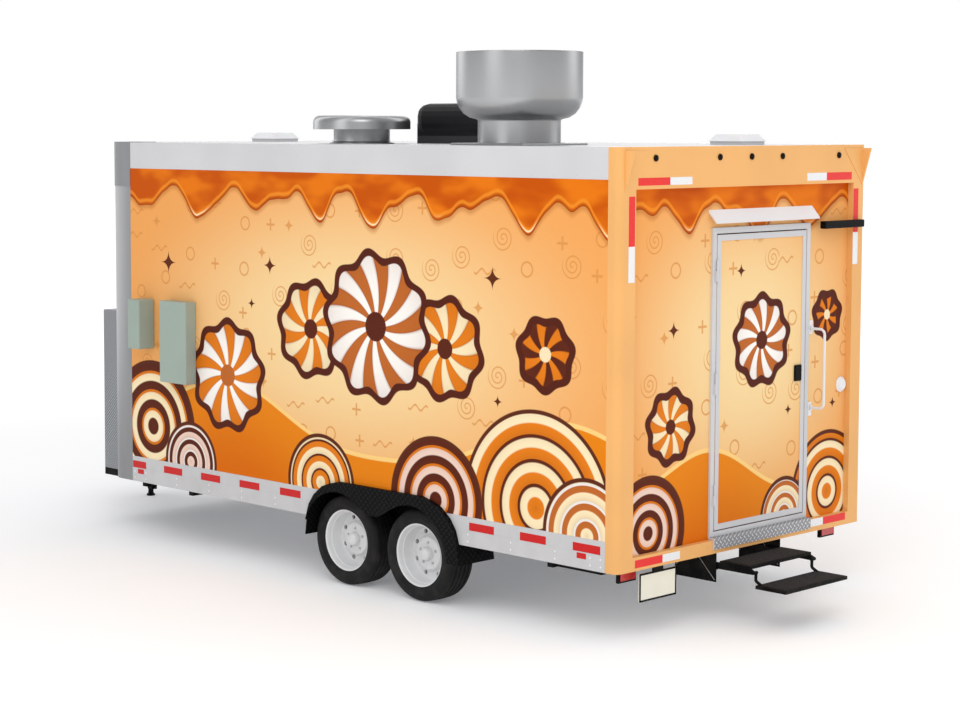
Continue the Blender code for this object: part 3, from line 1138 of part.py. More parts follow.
def build_vent():
    """Mushroom vent: neck and a wide, nearly flat cap with a round shoulder and an upright lip."""
    seat = BODY_TOP + SEAT_GAP
    cap = VENT_RADIUS
    level = VENT_TOP - VENT_CROWN
    under = VENT_CAP_BOTTOM + VENT_UNDER
    profile = [(0, VENT_TOP)] + arc((cap - VENT_SHOULDER, level - VENT_SHOULDER), VENT_SHOULDER, 90, 0, 5)
    profile += [(cap, VENT_CAP_BOTTOM), (cap - VENT_SHEET, VENT_CAP_BOTTOM), (cap - VENT_SHEET * 3, under),
                (VENT_NECK_RADIUS, under), (VENT_NECK_RADIUS, seat + VENT_SHEET * 2),
                (VENT_NECK_RADIUS * 1.15, seat + VENT_SHEET), (VENT_NECK_RADIUS * 1.15, seat), (0, seat)]
    node("mushroom_vent", smooth(turned(profile, VENT_STEPS, Matrix.Translation((VENT_X, VENT_Y, 0)))), ALUMINIUM)


def build_cooler():
    """Roof air conditioner: a low base pan and a shroud with round top edges."""
    seat = BODY_TOP + SEAT_GAP
    xs = (COOLER_X, COOLER_X + COOLER_LENGTH)
    ys = (COOLER_Y, COOLER_Y + COOLER_WIDTH)
    shroud = box(xs, ys, (BODY_TOP + COOLER_BASE, BODY_TOP + COOLER_HEIGHT))
    rounded(shroud, COOLER_ROUND, 4, 40)
    inset = COOLER_BASE / 2
    base = box((xs[0] + inset, xs[1] - inset), (ys[0] + inset, ys[1] - inset),
               (seat, BODY_TOP + COOLER_HEIGHT / 2))
    node("roof_cooler", smooth(union(shroud, base)), BLACK_PLASTIC)


def build_hatchlets():
    """Lids of the two small roof vents, hinged along their front edge."""
    for name, x, y in HATCHLET_PLACES:
        half = HATCHLET_SIZE / 2
        low = BODY_TOP + HATCHLET_BASE + SEAT_GAP
        hinge = (x + half, y, low + HATCHLET_HINGE)
        lid = box((x - half, x + half), (y - half, y + half), (low, low + HATCHLET_LID))
        for corner in lid.data.vertices:
            if corner.co.z > low + HATCHLET_HINGE:
                corner.co.x += HATCHLET_INSET if corner.co.x < x else -HATCHLET_INSET
                corner.co.y += HATCHLET_INSET if corner.co.y < y else -HATCHLET_INSET
        node(f"roof_lid_{name}", rounded(lid, HATCHLET_RIM / 2), WHITE, hinge)


build_body()
build_rear_frame()
build_rear_wall()
build_rear_door()
build_grab_handle()
build_rear_fittings()
build_chassis()
TONGUE_LEVEL = build_tongue()
build_coupler(TONGUE_LEVEL)
build_jack(TONGUE_LEVEL)
build_wheels()
build_fenders()
build_steps()
build_serving_side()
build_wall_boxes()
build_cabinet()
build_fan()
build_vent()
build_cooler()
build_hatchlets()
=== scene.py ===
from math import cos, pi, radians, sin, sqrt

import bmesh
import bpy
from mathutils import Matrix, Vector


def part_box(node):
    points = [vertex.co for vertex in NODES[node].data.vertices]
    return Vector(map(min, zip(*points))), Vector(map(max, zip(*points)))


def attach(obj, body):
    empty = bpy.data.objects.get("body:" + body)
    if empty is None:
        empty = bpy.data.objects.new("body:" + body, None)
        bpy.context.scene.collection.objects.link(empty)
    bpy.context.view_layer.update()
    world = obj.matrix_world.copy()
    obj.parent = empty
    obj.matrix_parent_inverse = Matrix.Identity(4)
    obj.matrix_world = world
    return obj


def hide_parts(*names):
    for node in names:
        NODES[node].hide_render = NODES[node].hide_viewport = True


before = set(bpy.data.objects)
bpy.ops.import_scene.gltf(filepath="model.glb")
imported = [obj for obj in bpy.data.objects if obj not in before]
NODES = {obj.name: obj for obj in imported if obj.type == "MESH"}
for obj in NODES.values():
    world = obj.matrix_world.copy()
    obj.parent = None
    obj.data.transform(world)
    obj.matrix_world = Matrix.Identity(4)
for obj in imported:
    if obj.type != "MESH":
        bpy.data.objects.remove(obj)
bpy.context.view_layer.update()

# %% [markdown]
# # A food trailer, parked and shut
#
# The CAD model comes in as a fixed frame. This file gives every piece its finish and adds the trim
# that a body builder would add: wheels with their tread, reflective tape, rivets, lenses, spun roof
# units and step covers.
#
# Sizes are in metres in the trailer's own coordinates: x from the rear face forwards, y from the
# centre line to the left, z from the ground up. The function `at` turns them into the frame's.

LOW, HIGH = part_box("rear_frame")
# Along x: how far ahead of the origin the rear frame ends, and where its rear face lies.
POST = 0.055
FACE = -0.038
X0 = HIGH[0] - POST
Y0 = (LOW[1] + HIGH[1]) / 2
HALF = (HIGH[1] - LOW[1]) / 2
print("rear face at", round(X0, 4), "centre line at", round(Y0, 4), "half width", round(HALF, 4))


def at(x, y, z):
    """A place in the trailer's coordinates, as the frame has it."""
    return Vector((x + X0, y + Y0, z))


# %% [markdown]
# ## Camera
#
# The camera stands behind the left rear corner, a little above the roof. Its place and lens are fitted
# to points of the model, as the camera worked out from the photograph shows them. The shift was held
# at one value in that fit.

# %% Camera
YAW, PITCH, ROLL = -0.7640, -0.0817, 0.0003
EYE = (-8.2200, 11.1132, 3.1641)
# The focal length and the picture's width in pixels, and the sensor's width in millimetres.
FOCAL, PICTURE, SENSOR = 2133.3, 960, 36
camera_data = bpy.data.cameras.new("camera")
camera = bpy.data.objects.new("camera", camera_data)
bpy.context.scene.collection.objects.link(camera)
bpy.context.scene.camera = camera
camera_data.sensor_width = SENSOR
camera_data.lens = FOCAL * SENSOR / PICTURE
camera_data.shift_x = 0.1042
camera_data.shift_y = -0.0625
camera_data.clip_start = 0.1
camera_data.clip_end = 400
ahead = Vector((cos(PITCH) * cos(YAW), cos(PITCH) * sin(YAW), sin(PITCH)))
right = Vector((sin(YAW), -cos(YAW), 0))
up = right.cross(ahead)
right, up = cos(ROLL) * right + sin(ROLL) * up, cos(ROLL) * up - sin(ROLL) * right
turn = Matrix((right, up, -ahead)).transposed().to_4x4()
camera.matrix_world = Matrix.Translation(at(*EYE)) @ turn

# %% [markdown]
# ## Shader arithmetic
#
# A `Wire` is one value in a material's node tree. Adding, multiplying or comparing wires makes the
# math nodes, and `node` makes any other node: its settings come first, then its inputs.


# %% Wire
class Wire:
    """A value that runs through a node tree."""

    def __init__(self, tree, socket):
        self.tree = tree
        self.socket = socket

    def node(self, kind, settings=(), output=0, **inputs):
        """Any shader node. An input is named with underscores for spaces, or by n and its number."""
        made = self.tree.nodes.new("ShaderNode" + kind)
        for key, value in dict(settings).items():
            setattr(made, key, value)
        for key, value in inputs.items():
            numbered = key[0] == "n" and key[1:].isdigit()
            plug = made.inputs[int(key[1:])] if numbered else made.inputs[key.replace("_", " ")]
            if isinstance(value, Wire):
                self.tree.links.new(value.socket, plug)
            else:
                plug.default_value = value
        return Wire(self.tree, made.outputs[output])

    def do(self, operation, *values):
        """A math node that works on this wire and the values."""
        plugs = {f"n{i}": value for i, value in enumerate((self, *values))}
        return self.node("Math", {"operation": operation}, **plugs)

    def __add__(self, other):
        return self.do("ADD", other)

    def __sub__(self, other):
        return self.do("SUBTRACT", other)

    def __mul__(self, other):
        return self.do("MULTIPLY", other)

    def __truediv__(self, other):
        return self.do("DIVIDE", other)

    def __pow__(self, other):
        return self.do("POWER", other)

    def __neg__(self):
        return self * -1

    def __abs__(self):
        return self.do("ABSOLUTE")

    def __rsub__(self, other):
        return -self + other

    __radd__ = __add__
    __rmul__ = __mul__

    def sin(self):
        return self.do("SINE")

    def least(self, other):
        return self.do("MINIMUM", other)

    def most(self, other):
        return self.do("MAXIMUM", other)

    def ramp(self, low, high):
        """0 below low, 1 above high, and a smooth rise between them. High may be the lower one."""
        settings = {"interpolation_type": "SMOOTHSTEP"}
        return self.node("MapRange", settings, Value=self, From_Min=low, From_Max=high)

    def mix(self, a, b):
        """Colour a where this wire is 0 and colour b where it is 1."""
        return self.node("Mix", {"data_type": "RGBA"}, 2, n0=self, n6=a, n7=b)

    def part(self, axis):
        """One component of a vector."""
        return self.node("SeparateXYZ", {}, "XYZ".index(axis), Vector=self)

    def noise(self, scale, detail=3.0, rough=0.5):
        return self.node("TexNoise", {}, Vector=self, Scale=scale, Detail=detail, Roughness=rough)


def srgb(r, g, b, alpha=1.0):
    """A colour as a picture editor names it, made linear."""
    def line(c):
        c = c / 255
        return c / 12.92 if c <= 0.04045 else ((c + 0.055) / 1.055) ** 2.4

    return (line(r), line(g), line(b), alpha)


def finish(name, paint, **fixed):
    """A Principled material. paint(place) gets the object coordinates and gives what drives the inputs."""
    made = bpy.data.materials.new(name)
    made.use_nodes = True
    tree = made.node_tree
    shader = tree.nodes["Principled BSDF"]
    place = Wire(tree, tree.nodes.new("ShaderNodeTexCoord").outputs["Object"])
    for key, value in fixed.items():
        shader.inputs[key.replace("_", " ")].default_value = value
    for key, value in paint(place).items():
        tree.links.new(value.socket, shader.inputs[key.replace("_", " ")])
    return made


def bump(height, distance, strength=1.0):
    """Normals from a height wire, in metres at full height."""
    return height.node("Bump", {}, Height=height, Distance=distance, Strength=strength)


# %% [markdown]
# ## Paint and metal
#
# `painted` is a sprayed coat: a faint orange peel, a little colour drift over the panel, dust that
# gathers low down and softer gloss where it lies. `bare` is sheet metal with its rolling lines.


# %% Plain finishes
def painted(name, colour, rough=0.4, dust=0.12, peel=0.00012, metal=0.0, shine=0.3):
    """Sprayed paint with orange peel, slight drift in tone and dust towards the ground."""
    def paint(place):
        drift = place.noise(1.7, 2.0)
        fine = place.noise(420.0, 1.0)
        low = place.part("Z").ramp(1.1, 0.1) * place.noise(9.0, 4.0).ramp(0.35, 0.75) * dust
        shade = [c * 0.93 for c in colour[:3]] + [1.0]
        tone = drift.ramp(0.3, 0.7).mix(shade, colour)
        return {"Base_Color": low.mix(tone, srgb(150, 143, 132)),
                "Roughness": place.noise(26.0, 3.0) * 0.12 + (rough - 0.06) + low * 0.5,
                "Normal": bump(fine, peel)}

    return finish(name, paint, Metallic=metal, Specular_IOR_Level=shine)


def bare(name, colour, rough=0.3, along="Z", streak=0.08):
    """Sheet metal: fine lines along one axis, cloudy gloss and a few dull patches."""
    def paint(place):
        scale = [420.0, 420.0, 420.0]
        scale["XYZ".index(along)] = 6.0
        lines = place.node("Mapping", {}, Vector=place, Scale=scale).noise(1.0, 2.0)
        cloud = place.noise(5.0, 4.0, 0.6)
        dark = [c * (1 - streak * 2) for c in colour[:3]] + [1.0]
        return {"Base_Color": (lines * 0.5 + cloud * 0.5).ramp(0.3, 0.7).mix(dark, colour),
                "Roughness": lines * 0.1 + cloud.ramp(0.35, 0.7) * 0.12 + (rough - 0.08),
                "Normal": bump(lines, 0.00006)}

    return finish(name, paint, Metallic=1.0)


def spun_paint(place):
    """Spun sheet: satin, with the faintest rings from the tool and a little handling haze."""
    rings = (place.part("Z") * 900.0).sin() * 0.5 + 0.5
    haze = place.noise(3.0, 2.0)
    return {"Base_Color": haze.mix(srgb(168, 169, 170), srgb(177, 178, 179)), "Roughness": haze * 0.06 + 0.31,
            "Normal": bump(rings, 0.00002)}


def corner_paint(place):
    """Brushed column: upright lines over painted shade that makes it paler toward the front and the top, and
    a darker cap.
    """
    lines = place.node("Mapping", {}, Vector=place, Scale=(300.0, 300.0, 3.0)).noise(1.0, 2.0)
    # Painted shade across the column: darker toward the back, paler toward the front.
    along = (place.part("X") - X0).ramp(4.76, 4.98)
    tone = along.mix(srgb(134, 135, 137), srgb(182, 183, 185))
    # Painted shade: the column darkens towards the bottom.
    tone = place.part("Z").ramp(1.9, 0.5).mix(tone, srgb(122, 123, 125))
    tone = place.part("Z").ramp(2.704, 2.706).mix(tone, srgb(124, 126, 129))
    return {"Base_Color": (lines * 0.25).mix(tone, srgb(196, 197, 199)), "Roughness": lines * 0.2 + 0.35,
            "Normal": bump(lines, 0.00008)}


def cooler_paint(place):
    """Black moulded shroud over a slightly paler base pan."""
    grain = place.noise(600.0, 2.0)
    base = place.part("Z").ramp(3.092, 3.086)
    return {"Base_Color": base.mix(srgb(17, 18, 20), srgb(58, 59, 62)), "Roughness": grain * 0.1 + 0.42,
            "Normal": bump(grain, 0.0003)}


def lid_paint(place):
    """Pale moulded plastic that has clouded a little in the sun."""
    cloud = place.noise(8.0, 3.0)
    return {"Base_Color": cloud.mix(srgb(228, 230, 233), srgb(242, 243, 244)),
            "Roughness": cloud * 0.15 + 0.3,
            "Normal": bump(place.noise(300.0, 1.0), 0.0001)}


TAN = painted("tan_paint", srgb(238, 178, 107), 0.42, 0.05)
RAIL = painted("rail_grey", srgb(201, 201, 203), 0.4, 0.2)
ROOF = painted("roof_grey", srgb(208, 208, 210), 0.42, 0.0)
CORNER = finish("brushed_corner_painted_shade", corner_paint, Specular_IOR_Level=0.4)
WHITE = painted("white_paint", srgb(234, 234, 236), 0.35, 0.05)
PLATE_CREAM = painted("plate_cream", srgb(237, 234, 218), 0.35, 0.05)
LEAF_GREY = painted("leaf_grey", srgb(205, 205, 208), 0.34, 0.05)
BLACK = painted("black_steel", srgb(7, 7, 8), 0.5, 0.05, 0.0003, shine=0.08)
AXLE_BLACK = painted("axle_black", srgb(20, 20, 21), 0.6, 0.3, 0.0006, shine=0.15)
BLACK_PLASTIC = painted("black_plastic", srgb(7, 7, 8), 0.45, 0.04, 0.0002, shine=0.08)
GREEN_BOX = painted("box_green", srgb(156, 171, 161), 0.45, 0.05)
WHEEL = painted("wheel_silver", srgb(222, 223, 224), 0.34, 0.05, 0.0001, shine=0.5)
EXTRUSION = bare("extrusion", srgb(218, 219, 222), 0.34)
GALVANISED = finish("spun_aluminium", spun_paint, Metallic=1.0)
ZINC = bare("zinc", srgb(205, 206, 208), 0.3)
COOLER_BLACK = finish("cooler_black", cooler_paint, Specular_IOR_Level=0.25)
LID_WHITE = finish("lid_white", lid_paint, Subsurface_Weight=0.15, Subsurface_Scale=0.02)


# %% [markdown]
# ## Tread plate
#
# Raised lozenges on a square grid, every other one turned a quarter. The same pattern serves the
# black fenders and the bright plate, only the base changes.


# %% Tread plate
def lozenges(a, b, pitch):
    """1 on a lozenge and 0 between them, on the plane of a and b."""
    height = None
    for shift, sign in ((0.0, 1.0), (0.5, -1.0)):
        across = ((a / pitch + shift).do("FRACT") - 0.5) * 2
        along = ((b / pitch + shift).do("FRACT") - 0.5) * 2
        p = (across + along * sign) * 0.7071
        q = (across - along * sign) * 0.7071
        body = 1 - ((p / 0.78) ** 2 + (q / 0.2) ** 2).do("SQRT")
        form = body.ramp(0.0, 0.45)
        height = form if height is None else height.most(form)
    return height


def tread_plate(name, colour, wear_and_highlight, axes, pitch, rough, metal, depth=0.0012):
    """Checker plate whose raised lozenges are brighter: partly wear from boots and hands, partly a painted
    highlight on their tops.
    """
    def paint(place):
        normal = place.node("NewGeometry", {}, 1)
        sets = {}
        for pair in axes:
            sets[pair] = lozenges(place.part(pair[0]), place.part(pair[1]), pitch)
        facing = {"XY": "Z", "XZ": "Y", "YZ": "X"}
        height = None
        for pair, form in sets.items():
            seen = abs(normal.part(facing[pair])).ramp(0.6, 0.75)
            height = form * seen if height is None else height.most(form * seen)
        grime = place.noise(14.0, 4.0)
        # The raised lozenges are mixed toward the brighter colour: wear, and a painted highlight on their
        # tops.
        tone = (height * 0.8 + grime * 0.3).ramp(0.15, 1.0).mix(colour, wear_and_highlight)
        return {"Base_Color": tone, "Roughness": rough - height * 0.12 + grime * 0.14,
                "Normal": bump(height, depth)}

    return finish(name, paint, Metallic=metal, Specular_IOR_Level=0.1)


ALL_SIDES = ("XZ", "XY", "YZ")
FENDER = tread_plate("fender_plate", srgb(4, 4, 5), srgb(28, 29, 31), ALL_SIDES, 0.045, 0.5, 0.0)
BRIGHT_PLATE = tread_plate("bright_plate", srgb(134, 136, 140), srgb(206, 208, 211), ALL_SIDES,
                           0.027, 0.4, 0.8)
THRESHOLD = tread_plate("threshold_plate", srgb(150, 151, 155), srgb(240, 240, 242), ("YZ", "XY"),
                        0.042, 0.4, 0.5)


# %% [markdown]
# ## Wrap film
#
# The film's graphics are drawn by the shader from plain shapes: a glossy scalloped border that runs
# down in drops, a tan field with thin doodles, an orange wave and clusters of ringed discs and
# pinwheels. Each wall has its own plan of where they sit.


# %% Film graphics
def disc(u, v, cu, cv):
    """Distance from a centre."""
    return ((u - cu) ** 2 + (v - cv) ** 2).do("SQRT")


def drops(u, phase):
    """How far the border hangs down: round drops of uneven length that run into each other."""
    long = ((u + (u * 2.1 + phase).sin() * 0.06) * (2 * pi / 0.64) + phase).sin() * 0.5 + 0.5
    short = ((u + (u * 3.3 + phase).sin() * 0.04) * (2 * pi / 0.37) + phase * 2.3).sin() * 0.5 + 0.5
    slow = (u * (2 * pi / 1.9) + phase * 1.3).sin() * 0.5 + 0.5
    fine = (u * (2 * pi / 0.173) + phase * 3.1).sin() * 0.5 + 0.5
    return long ** 1.9 * (slow * 0.1 + 0.12) + short ** 1.5 * 0.07 + fine ** 1.5 * 0.014


def doodles(u, v):
    """Thin line motifs, one to a cell: spirals, rings, plus signs, squiggles and four-pointed stars."""
    grid = u.node("CombineXYZ", {}, X=u, Y=v)
    cells = {"voronoi_dimensions": "2D", "feature": "F1"}
    pick = grid.node("TexVoronoi", cells, 1, Vector=grid, Scale=3.3, Randomness=0.75).part("X")
    centre = grid.node("TexVoronoi", cells, 2, Vector=grid, Scale=3.3, Randomness=0.75)
    a, b = u - centre.part("X"), v - centre.part("Y")
    d = (a ** 2 + b ** 2).do("SQRT")
    angle = b.do("ARCTAN2", a)
    spiral = (abs((d / 0.034 - angle / (2 * pi)).do("FRACT") - 0.5)).ramp(0.17, 0.09) * d.ramp(0.088, 0.082)
    ring = abs(d - 0.046).ramp(0.0075, 0.0045)
    plus = abs(a).least(abs(b)).ramp(0.009, 0.006) * abs(a).most(abs(b)).ramp(0.044, 0.041)
    squiggle = abs(b - (a * 62.0).sin() * 0.017).ramp(0.0085, 0.0055) * abs(a).ramp(0.095, 0.09)
    star = ((abs(a) + 0.0001).do("SQRT") + (abs(b) + 0.0001).do("SQRT")).ramp(0.245, 0.235)
    kinds = ((spiral, 0.0, 0.3), (ring, 0.3, 0.45), (plus, 0.45, 0.62), (squiggle, 0.62, 0.84),
             (star, 0.84, 1.1))
    drawn = None
    for form, low, high in kinds:
        chosen = form * pick.do("GREATER_THAN", low) * pick.do("LESS_THAN", high)
        drawn = chosen if drawn is None else drawn.most(chosen)
    return drawn


def film_colour(place, axis, plan):
    """The whole design on one wall. axis is the wall's long axis, and plan says where motifs sit."""
    u = place.part(axis) - plan["start"]
    v = place.part("Z")
    middle, reach = plan["middle"], plan["reach"]
    from_middle = (((u - middle) / reach) ** 2 + ((v - 1.75) / 1.25) ** 2).do("SQRT")
    colour = from_middle.ramp(0.15, 1.05).mix(srgb(243, 213, 158), srgb(236, 163, 90))
    colour = (doodles(u, v) * 0.75).mix(colour, srgb(214, 141, 70))

    wave = plan["wave"]
    edge = wave[0] + (u * wave[1] + wave[2]).sin() * wave[3] + (u * wave[1] * 2.1).sin() * 0.03
    below = edge - v
    body = below.ramp(0.0, 0.7).mix(srgb(228, 131, 18), srgb(214, 106, 3))
    colour = below.ramp(0.0, 0.006).mix(colour, (below.ramp(0.03, 0.036)).mix(srgb(248, 206, 128), body))

    for cu, cv, radius, pitch, inks in plan["discs"]:
        d = disc(u, v, cu, cv)
        rings = (d / pitch).do("FRACT")
        shade = rings.ramp(0.42, 0.5).mix(inks[0], inks[1])
        shade = (rings.ramp(0.82, 0.88)).mix(shade, inks[2])
        shade = ((rings - 0.5) ** 2 * 0.9).mix(shade, srgb(120, 52, 10))
        rim = d.ramp(radius - 0.03, radius - 0.024)
        colour = d.ramp(radius + 0.004, radius - 0.004).mix(colour, rim.mix(shade, srgb(92, 42, 24)))

    for cu, cv, radius, arms, twist, inks in plan["pinwheels"]:
        du, dv = u - cu, v - cv
        d = (du ** 2 + dv ** 2).do("SQRT")
        angle = dv.do("ARCTAN2", du)
        scallop = radius + (angle * float(arms)).sin() * (radius * 0.06)
        inside = (scallop - d).ramp(-0.004, 0.004)
        face = (scallop - d).ramp(0.05, 0.058)
        spin = (angle * float(arms) + d * (twist / radius)).sin()
        disc_face = spin.ramp(-0.12, 0.12).mix(inks[0], inks[1])
        eye = d.ramp(radius * 0.2 + 0.004, radius * 0.2 - 0.004)
        disc_face = eye.mix(disc_face, inks[2])
        groove = abs(spin).ramp(0.5, 0.0) * 0.3 + (d / radius) ** 3 * 0.25
        disc_face = groove.mix(disc_face, srgb(132, 60, 16))
        colour = inside.mix(colour, face.mix(srgb(84, 34, 22), disc_face))

    for cu, cv, size in plan["sparkles"]:
        star = (abs(u - cu).do("SQRT") + abs(v - cv).do("SQRT")) * -1 + sqrt(size)
        colour = star.ramp(0.0, 0.02).mix(colour, srgb(96, 44, 22))

    hang = drops(u, plan["phase"])
    drip = v - plan["drops"] + hang
    shadow = drip.ramp(-0.05, 0.0) * 0.5
    colour = shadow.mix(colour, srgb(172, 92, 26))
    cloud = (u.node("CombineXYZ", {}, X=u * 2.2, Y=v * 5.0)).noise(1.0, 2.0).ramp(0.38, 0.66)
    amber = cloud.mix(srgb(196, 82, 0), srgb(228, 118, 14))
    rim = abs(drip - 0.034).ramp(0.022, 0.004)
    amber = (rim * 0.7).mix(amber, srgb(240, 146, 40))
    amber = drip.ramp(0.014, 0.0).mix(amber, srgb(140, 48, 0))
    amber = (drip.ramp(0.03, 0.012) * drip.ramp(0.0, 0.012) * 0.6).mix(amber, srgb(176, 72, 4))
    shine = abs(drip - 0.026).ramp(0.010, 0.003) * hang.ramp(0.15, 0.24)
    amber = (shine * 0.9).mix(amber, srgb(255, 226, 178))
    return drip.ramp(-0.002, 0.002).mix(colour, amber)


FILM_DEPTH = 0.015
FEATHER = 0.0004


def film(name, axis, plan, edge=None, plain=None):
    """Printed vinyl: the design under a satin film, with the panel's slight waviness.

    What stands out behind the edge along X is bare paint in the plain colour. What lies further in
    than the film's depth is the cabin's white panel.
    """
    def paint(place):
        colour = film_colour(place, axis, plan)
        if edge is not None:
            colour = (place.part("X") - X0).ramp(edge, edge - FEATHER).mix(colour, plain)
        if axis == "X":
            inner = abs(place.part("Y") - Y0).ramp(HALF - FILM_DEPTH, HALF - FILM_DEPTH - FEATHER)
        else:
            inner = (place.part("X") - X0).ramp(FILM_DEPTH, FILM_DEPTH + FEATHER)
        colour = inner.mix(colour, srgb(226, 227, 228))
        peel = place.noise(260.0, 1.0) * 0.25 + place.noise(3.0, 2.0)
        return {"Base_Color": colour, "Roughness": place.noise(40.0, 3.0) * 0.08 + 0.36,
                "Normal": bump(peel, 0.0007, 0.6)}

    return finish(name, paint, Specular_IOR_Level=0.06)


BROWN, CREAM, ORANGE, PINK, WHITE_INK, CARAMEL = (srgb(88, 36, 22), srgb(248, 228, 186), srgb(226, 124, 24),
                                                srgb(236, 206, 190), srgb(250, 246, 240), srgb(190, 104, 44))
# A disc has its centre, radius, ring pitch and inks. A pinwheel has its centre, radius, arms, twist
# and inks. A sparkle has its centre and size.
SIDE_PLAN = {
    "start": X0, "middle": 2.3, "reach": 2.6, "wave": (1.12, 1.9, 0.9, 0.2), "drops": 2.722, "phase": 0.6,
    "discs": [(0.62, 0.78, 0.62, 0.155, (ORANGE, CREAM, BROWN)),
              (1.5, 0.72, 0.42, 0.12, (BROWN, PINK, ORANGE)),
              (0.2, 0.66, 0.36, 0.11, (CREAM, CARAMEL, WHITE_INK)),
              (2.62, 0.7, 0.34, 0.1, (CREAM, ORANGE, BROWN)),
              (4.5, 0.9, 0.5, 0.14, (BROWN, CREAM, ORANGE)),
              (4.05, 0.68, 0.3, 0.09, (PINK, BROWN, WHITE_INK))],
    "pinwheels": [(1.42, 1.72, 0.34, 8, 3.4, (ORANGE, CREAM, BROWN)),
                  (2.72, 1.76, 0.34, 8, -3.4, (CREAM, ORANGE, BROWN)),
                  (2.07, 1.82, 0.5, 10, 4.0, (WHITE_INK, CARAMEL, BROWN)),
                  (3.62, 1.36, 0.4, 9, 3.0, (ORANGE, WHITE_INK, CARAMEL)),
                  (0.55, 1.75, 0.24, 7, -2.6, (BROWN, ORANGE, CREAM))],
    "sparkles": [(1.0, 2.2, 0.09), (3.15, 2.18, 0.08), (0.95, 1.42, 0.05), (4.3, 2.15, 0.1),
                 (3.35, 1.9, 0.05)],
}
REAR_PLAN = {
    "start": Y0, "middle": -0.05, "reach": 1.5, "wave": (0.95, 2.6, 0.4, 0.16), "drops": 2.69, "phase": 2.1,
    "discs": [(-0.95, 0.7, 0.42, 0.12, (ORANGE, CREAM, BROWN)),
              (0.95, 0.66, 0.36, 0.1, (BROWN, PINK, ORANGE)),
              (-0.45, 0.6, 0.26, 0.08, (CREAM, CARAMEL, WHITE_INK))],
    "pinwheels": [(-0.18, 1.78, 0.3, 9, 3.6, (WHITE_INK, CARAMEL, BROWN)),
                  (0.74, 1.3, 0.24, 8, -3.0, (ORANGE, CREAM, BROWN)),
                  (-0.92, 1.9, 0.17, 7, 3.0, (BROWN, ORANGE, CREAM))],
    "sparkles": [(0.05, 2.24, 0.06), (-0.48, 1.3, 0.05), (0.72, 1.9, 0.07), (-1.0, 1.3, 0.05)],
}
SIDE_FILM = film("side_film", "X", SIDE_PLAN)
REAR_FILM = film("rear_film", "Y", REAR_PLAN, 0.001, srgb(232, 232, 234))
DOOR_FILM = film("door_film", "Y", REAR_PLAN, -0.0085, srgb(204, 204, 207))
print("films:", len(SIDE_FILM.node_tree.nodes), "and", len(REAR_FILM.node_tree.nodes), "nodes")


# %% [markdown]
# ## Rubber, lenses, tape and glass


# %% Small finishes
def rubber_paint(place):
    """Black rubber: greyer and duller where it is dusty, with fine mould texture."""
    dust = place.noise(11.0, 4.0).ramp(0.42, 0.72)
    return {"Base_Color": (dust * 0.5).mix(srgb(25, 25, 26), srgb(58, 56, 54)),
            "Roughness": dust * 0.15 + 0.68, "Normal": bump(place.noise(700.0, 2.0), 0.00035)}


def tape_paint(ink):
    """Reflective tape: tiny prisms in a diagonal net under a clear film."""
    def paint(place):
        a = (place.part("X") + place.part("Y")) * 260.0
        b = place.part("Z") * 260.0
        net = abs((a + b).sin()).least(abs((a - b).sin())).ramp(0.0, 0.4)
        dark = [c * 0.72 for c in ink[:3]] + [1.0]
        return {"Base_Color": net.mix(dark, ink), "Roughness": net * 0.15 + 0.22,
                "Normal": bump(net, 0.0001)}

    return paint


def lens_paint(ink):
    """Moulded lens with upright flutes."""
    def paint(place):
        flutes = abs(((place.part("Y") + place.part("X")) * 420.0).sin())
        dark = [c * 0.45 for c in ink[:3]] + [1.0]
        return {"Base_Color": flutes.mix(dark, ink), "Roughness": flutes * 0.1 + 0.1,
                "Normal": bump(flutes, 0.0006)}

    return paint


def grip_paint(place):
    """Gritty tread cover: dark grey with specks."""
    grit = place.noise(900.0, 2.0).ramp(0.4, 0.62)
    return {"Base_Color": grit.mix(srgb(28, 28, 29), srgb(76, 77, 79)), "Roughness": grit * 0.1 + 0.8,
            "Normal": bump(grit, 0.0008)}


def glass_paint(place):
    """Clear glass with a light film of dust."""
    dust = place.noise(6.0, 4.0).ramp(0.4, 0.8)
    return {"Base_Color": dust.mix(srgb(206, 216, 214), srgb(226, 226, 222)), "Roughness": dust * 0.08 + 0.03,
            "Alpha": dust * 0.12 + 0.22}


RUBBER = finish("tyre_rubber", rubber_paint, Specular_IOR_Level=0.2)
RED_TAPE = finish("red_tape", tape_paint(srgb(206, 8, 10)), Specular_IOR_Level=0.3)
BRIGHT_RED_TAPE = finish("bright_red_tape", tape_paint(srgb(236, 44, 40)), Specular_IOR_Level=0.3)
WHITE_TAPE = finish("white_tape", tape_paint(srgb(240, 240, 242)), Specular_IOR_Level=0.3)
RED_LENS = finish("red_lens", lens_paint(srgb(214, 14, 12)), Coat_Weight=0.5)
GRIP = finish("grip", grip_paint, Specular_IOR_Level=0.15)
GLASS = finish("glass", glass_paint, Metallic=0.0)

# %% [markdown]
# ## Finishes on the CAD pieces

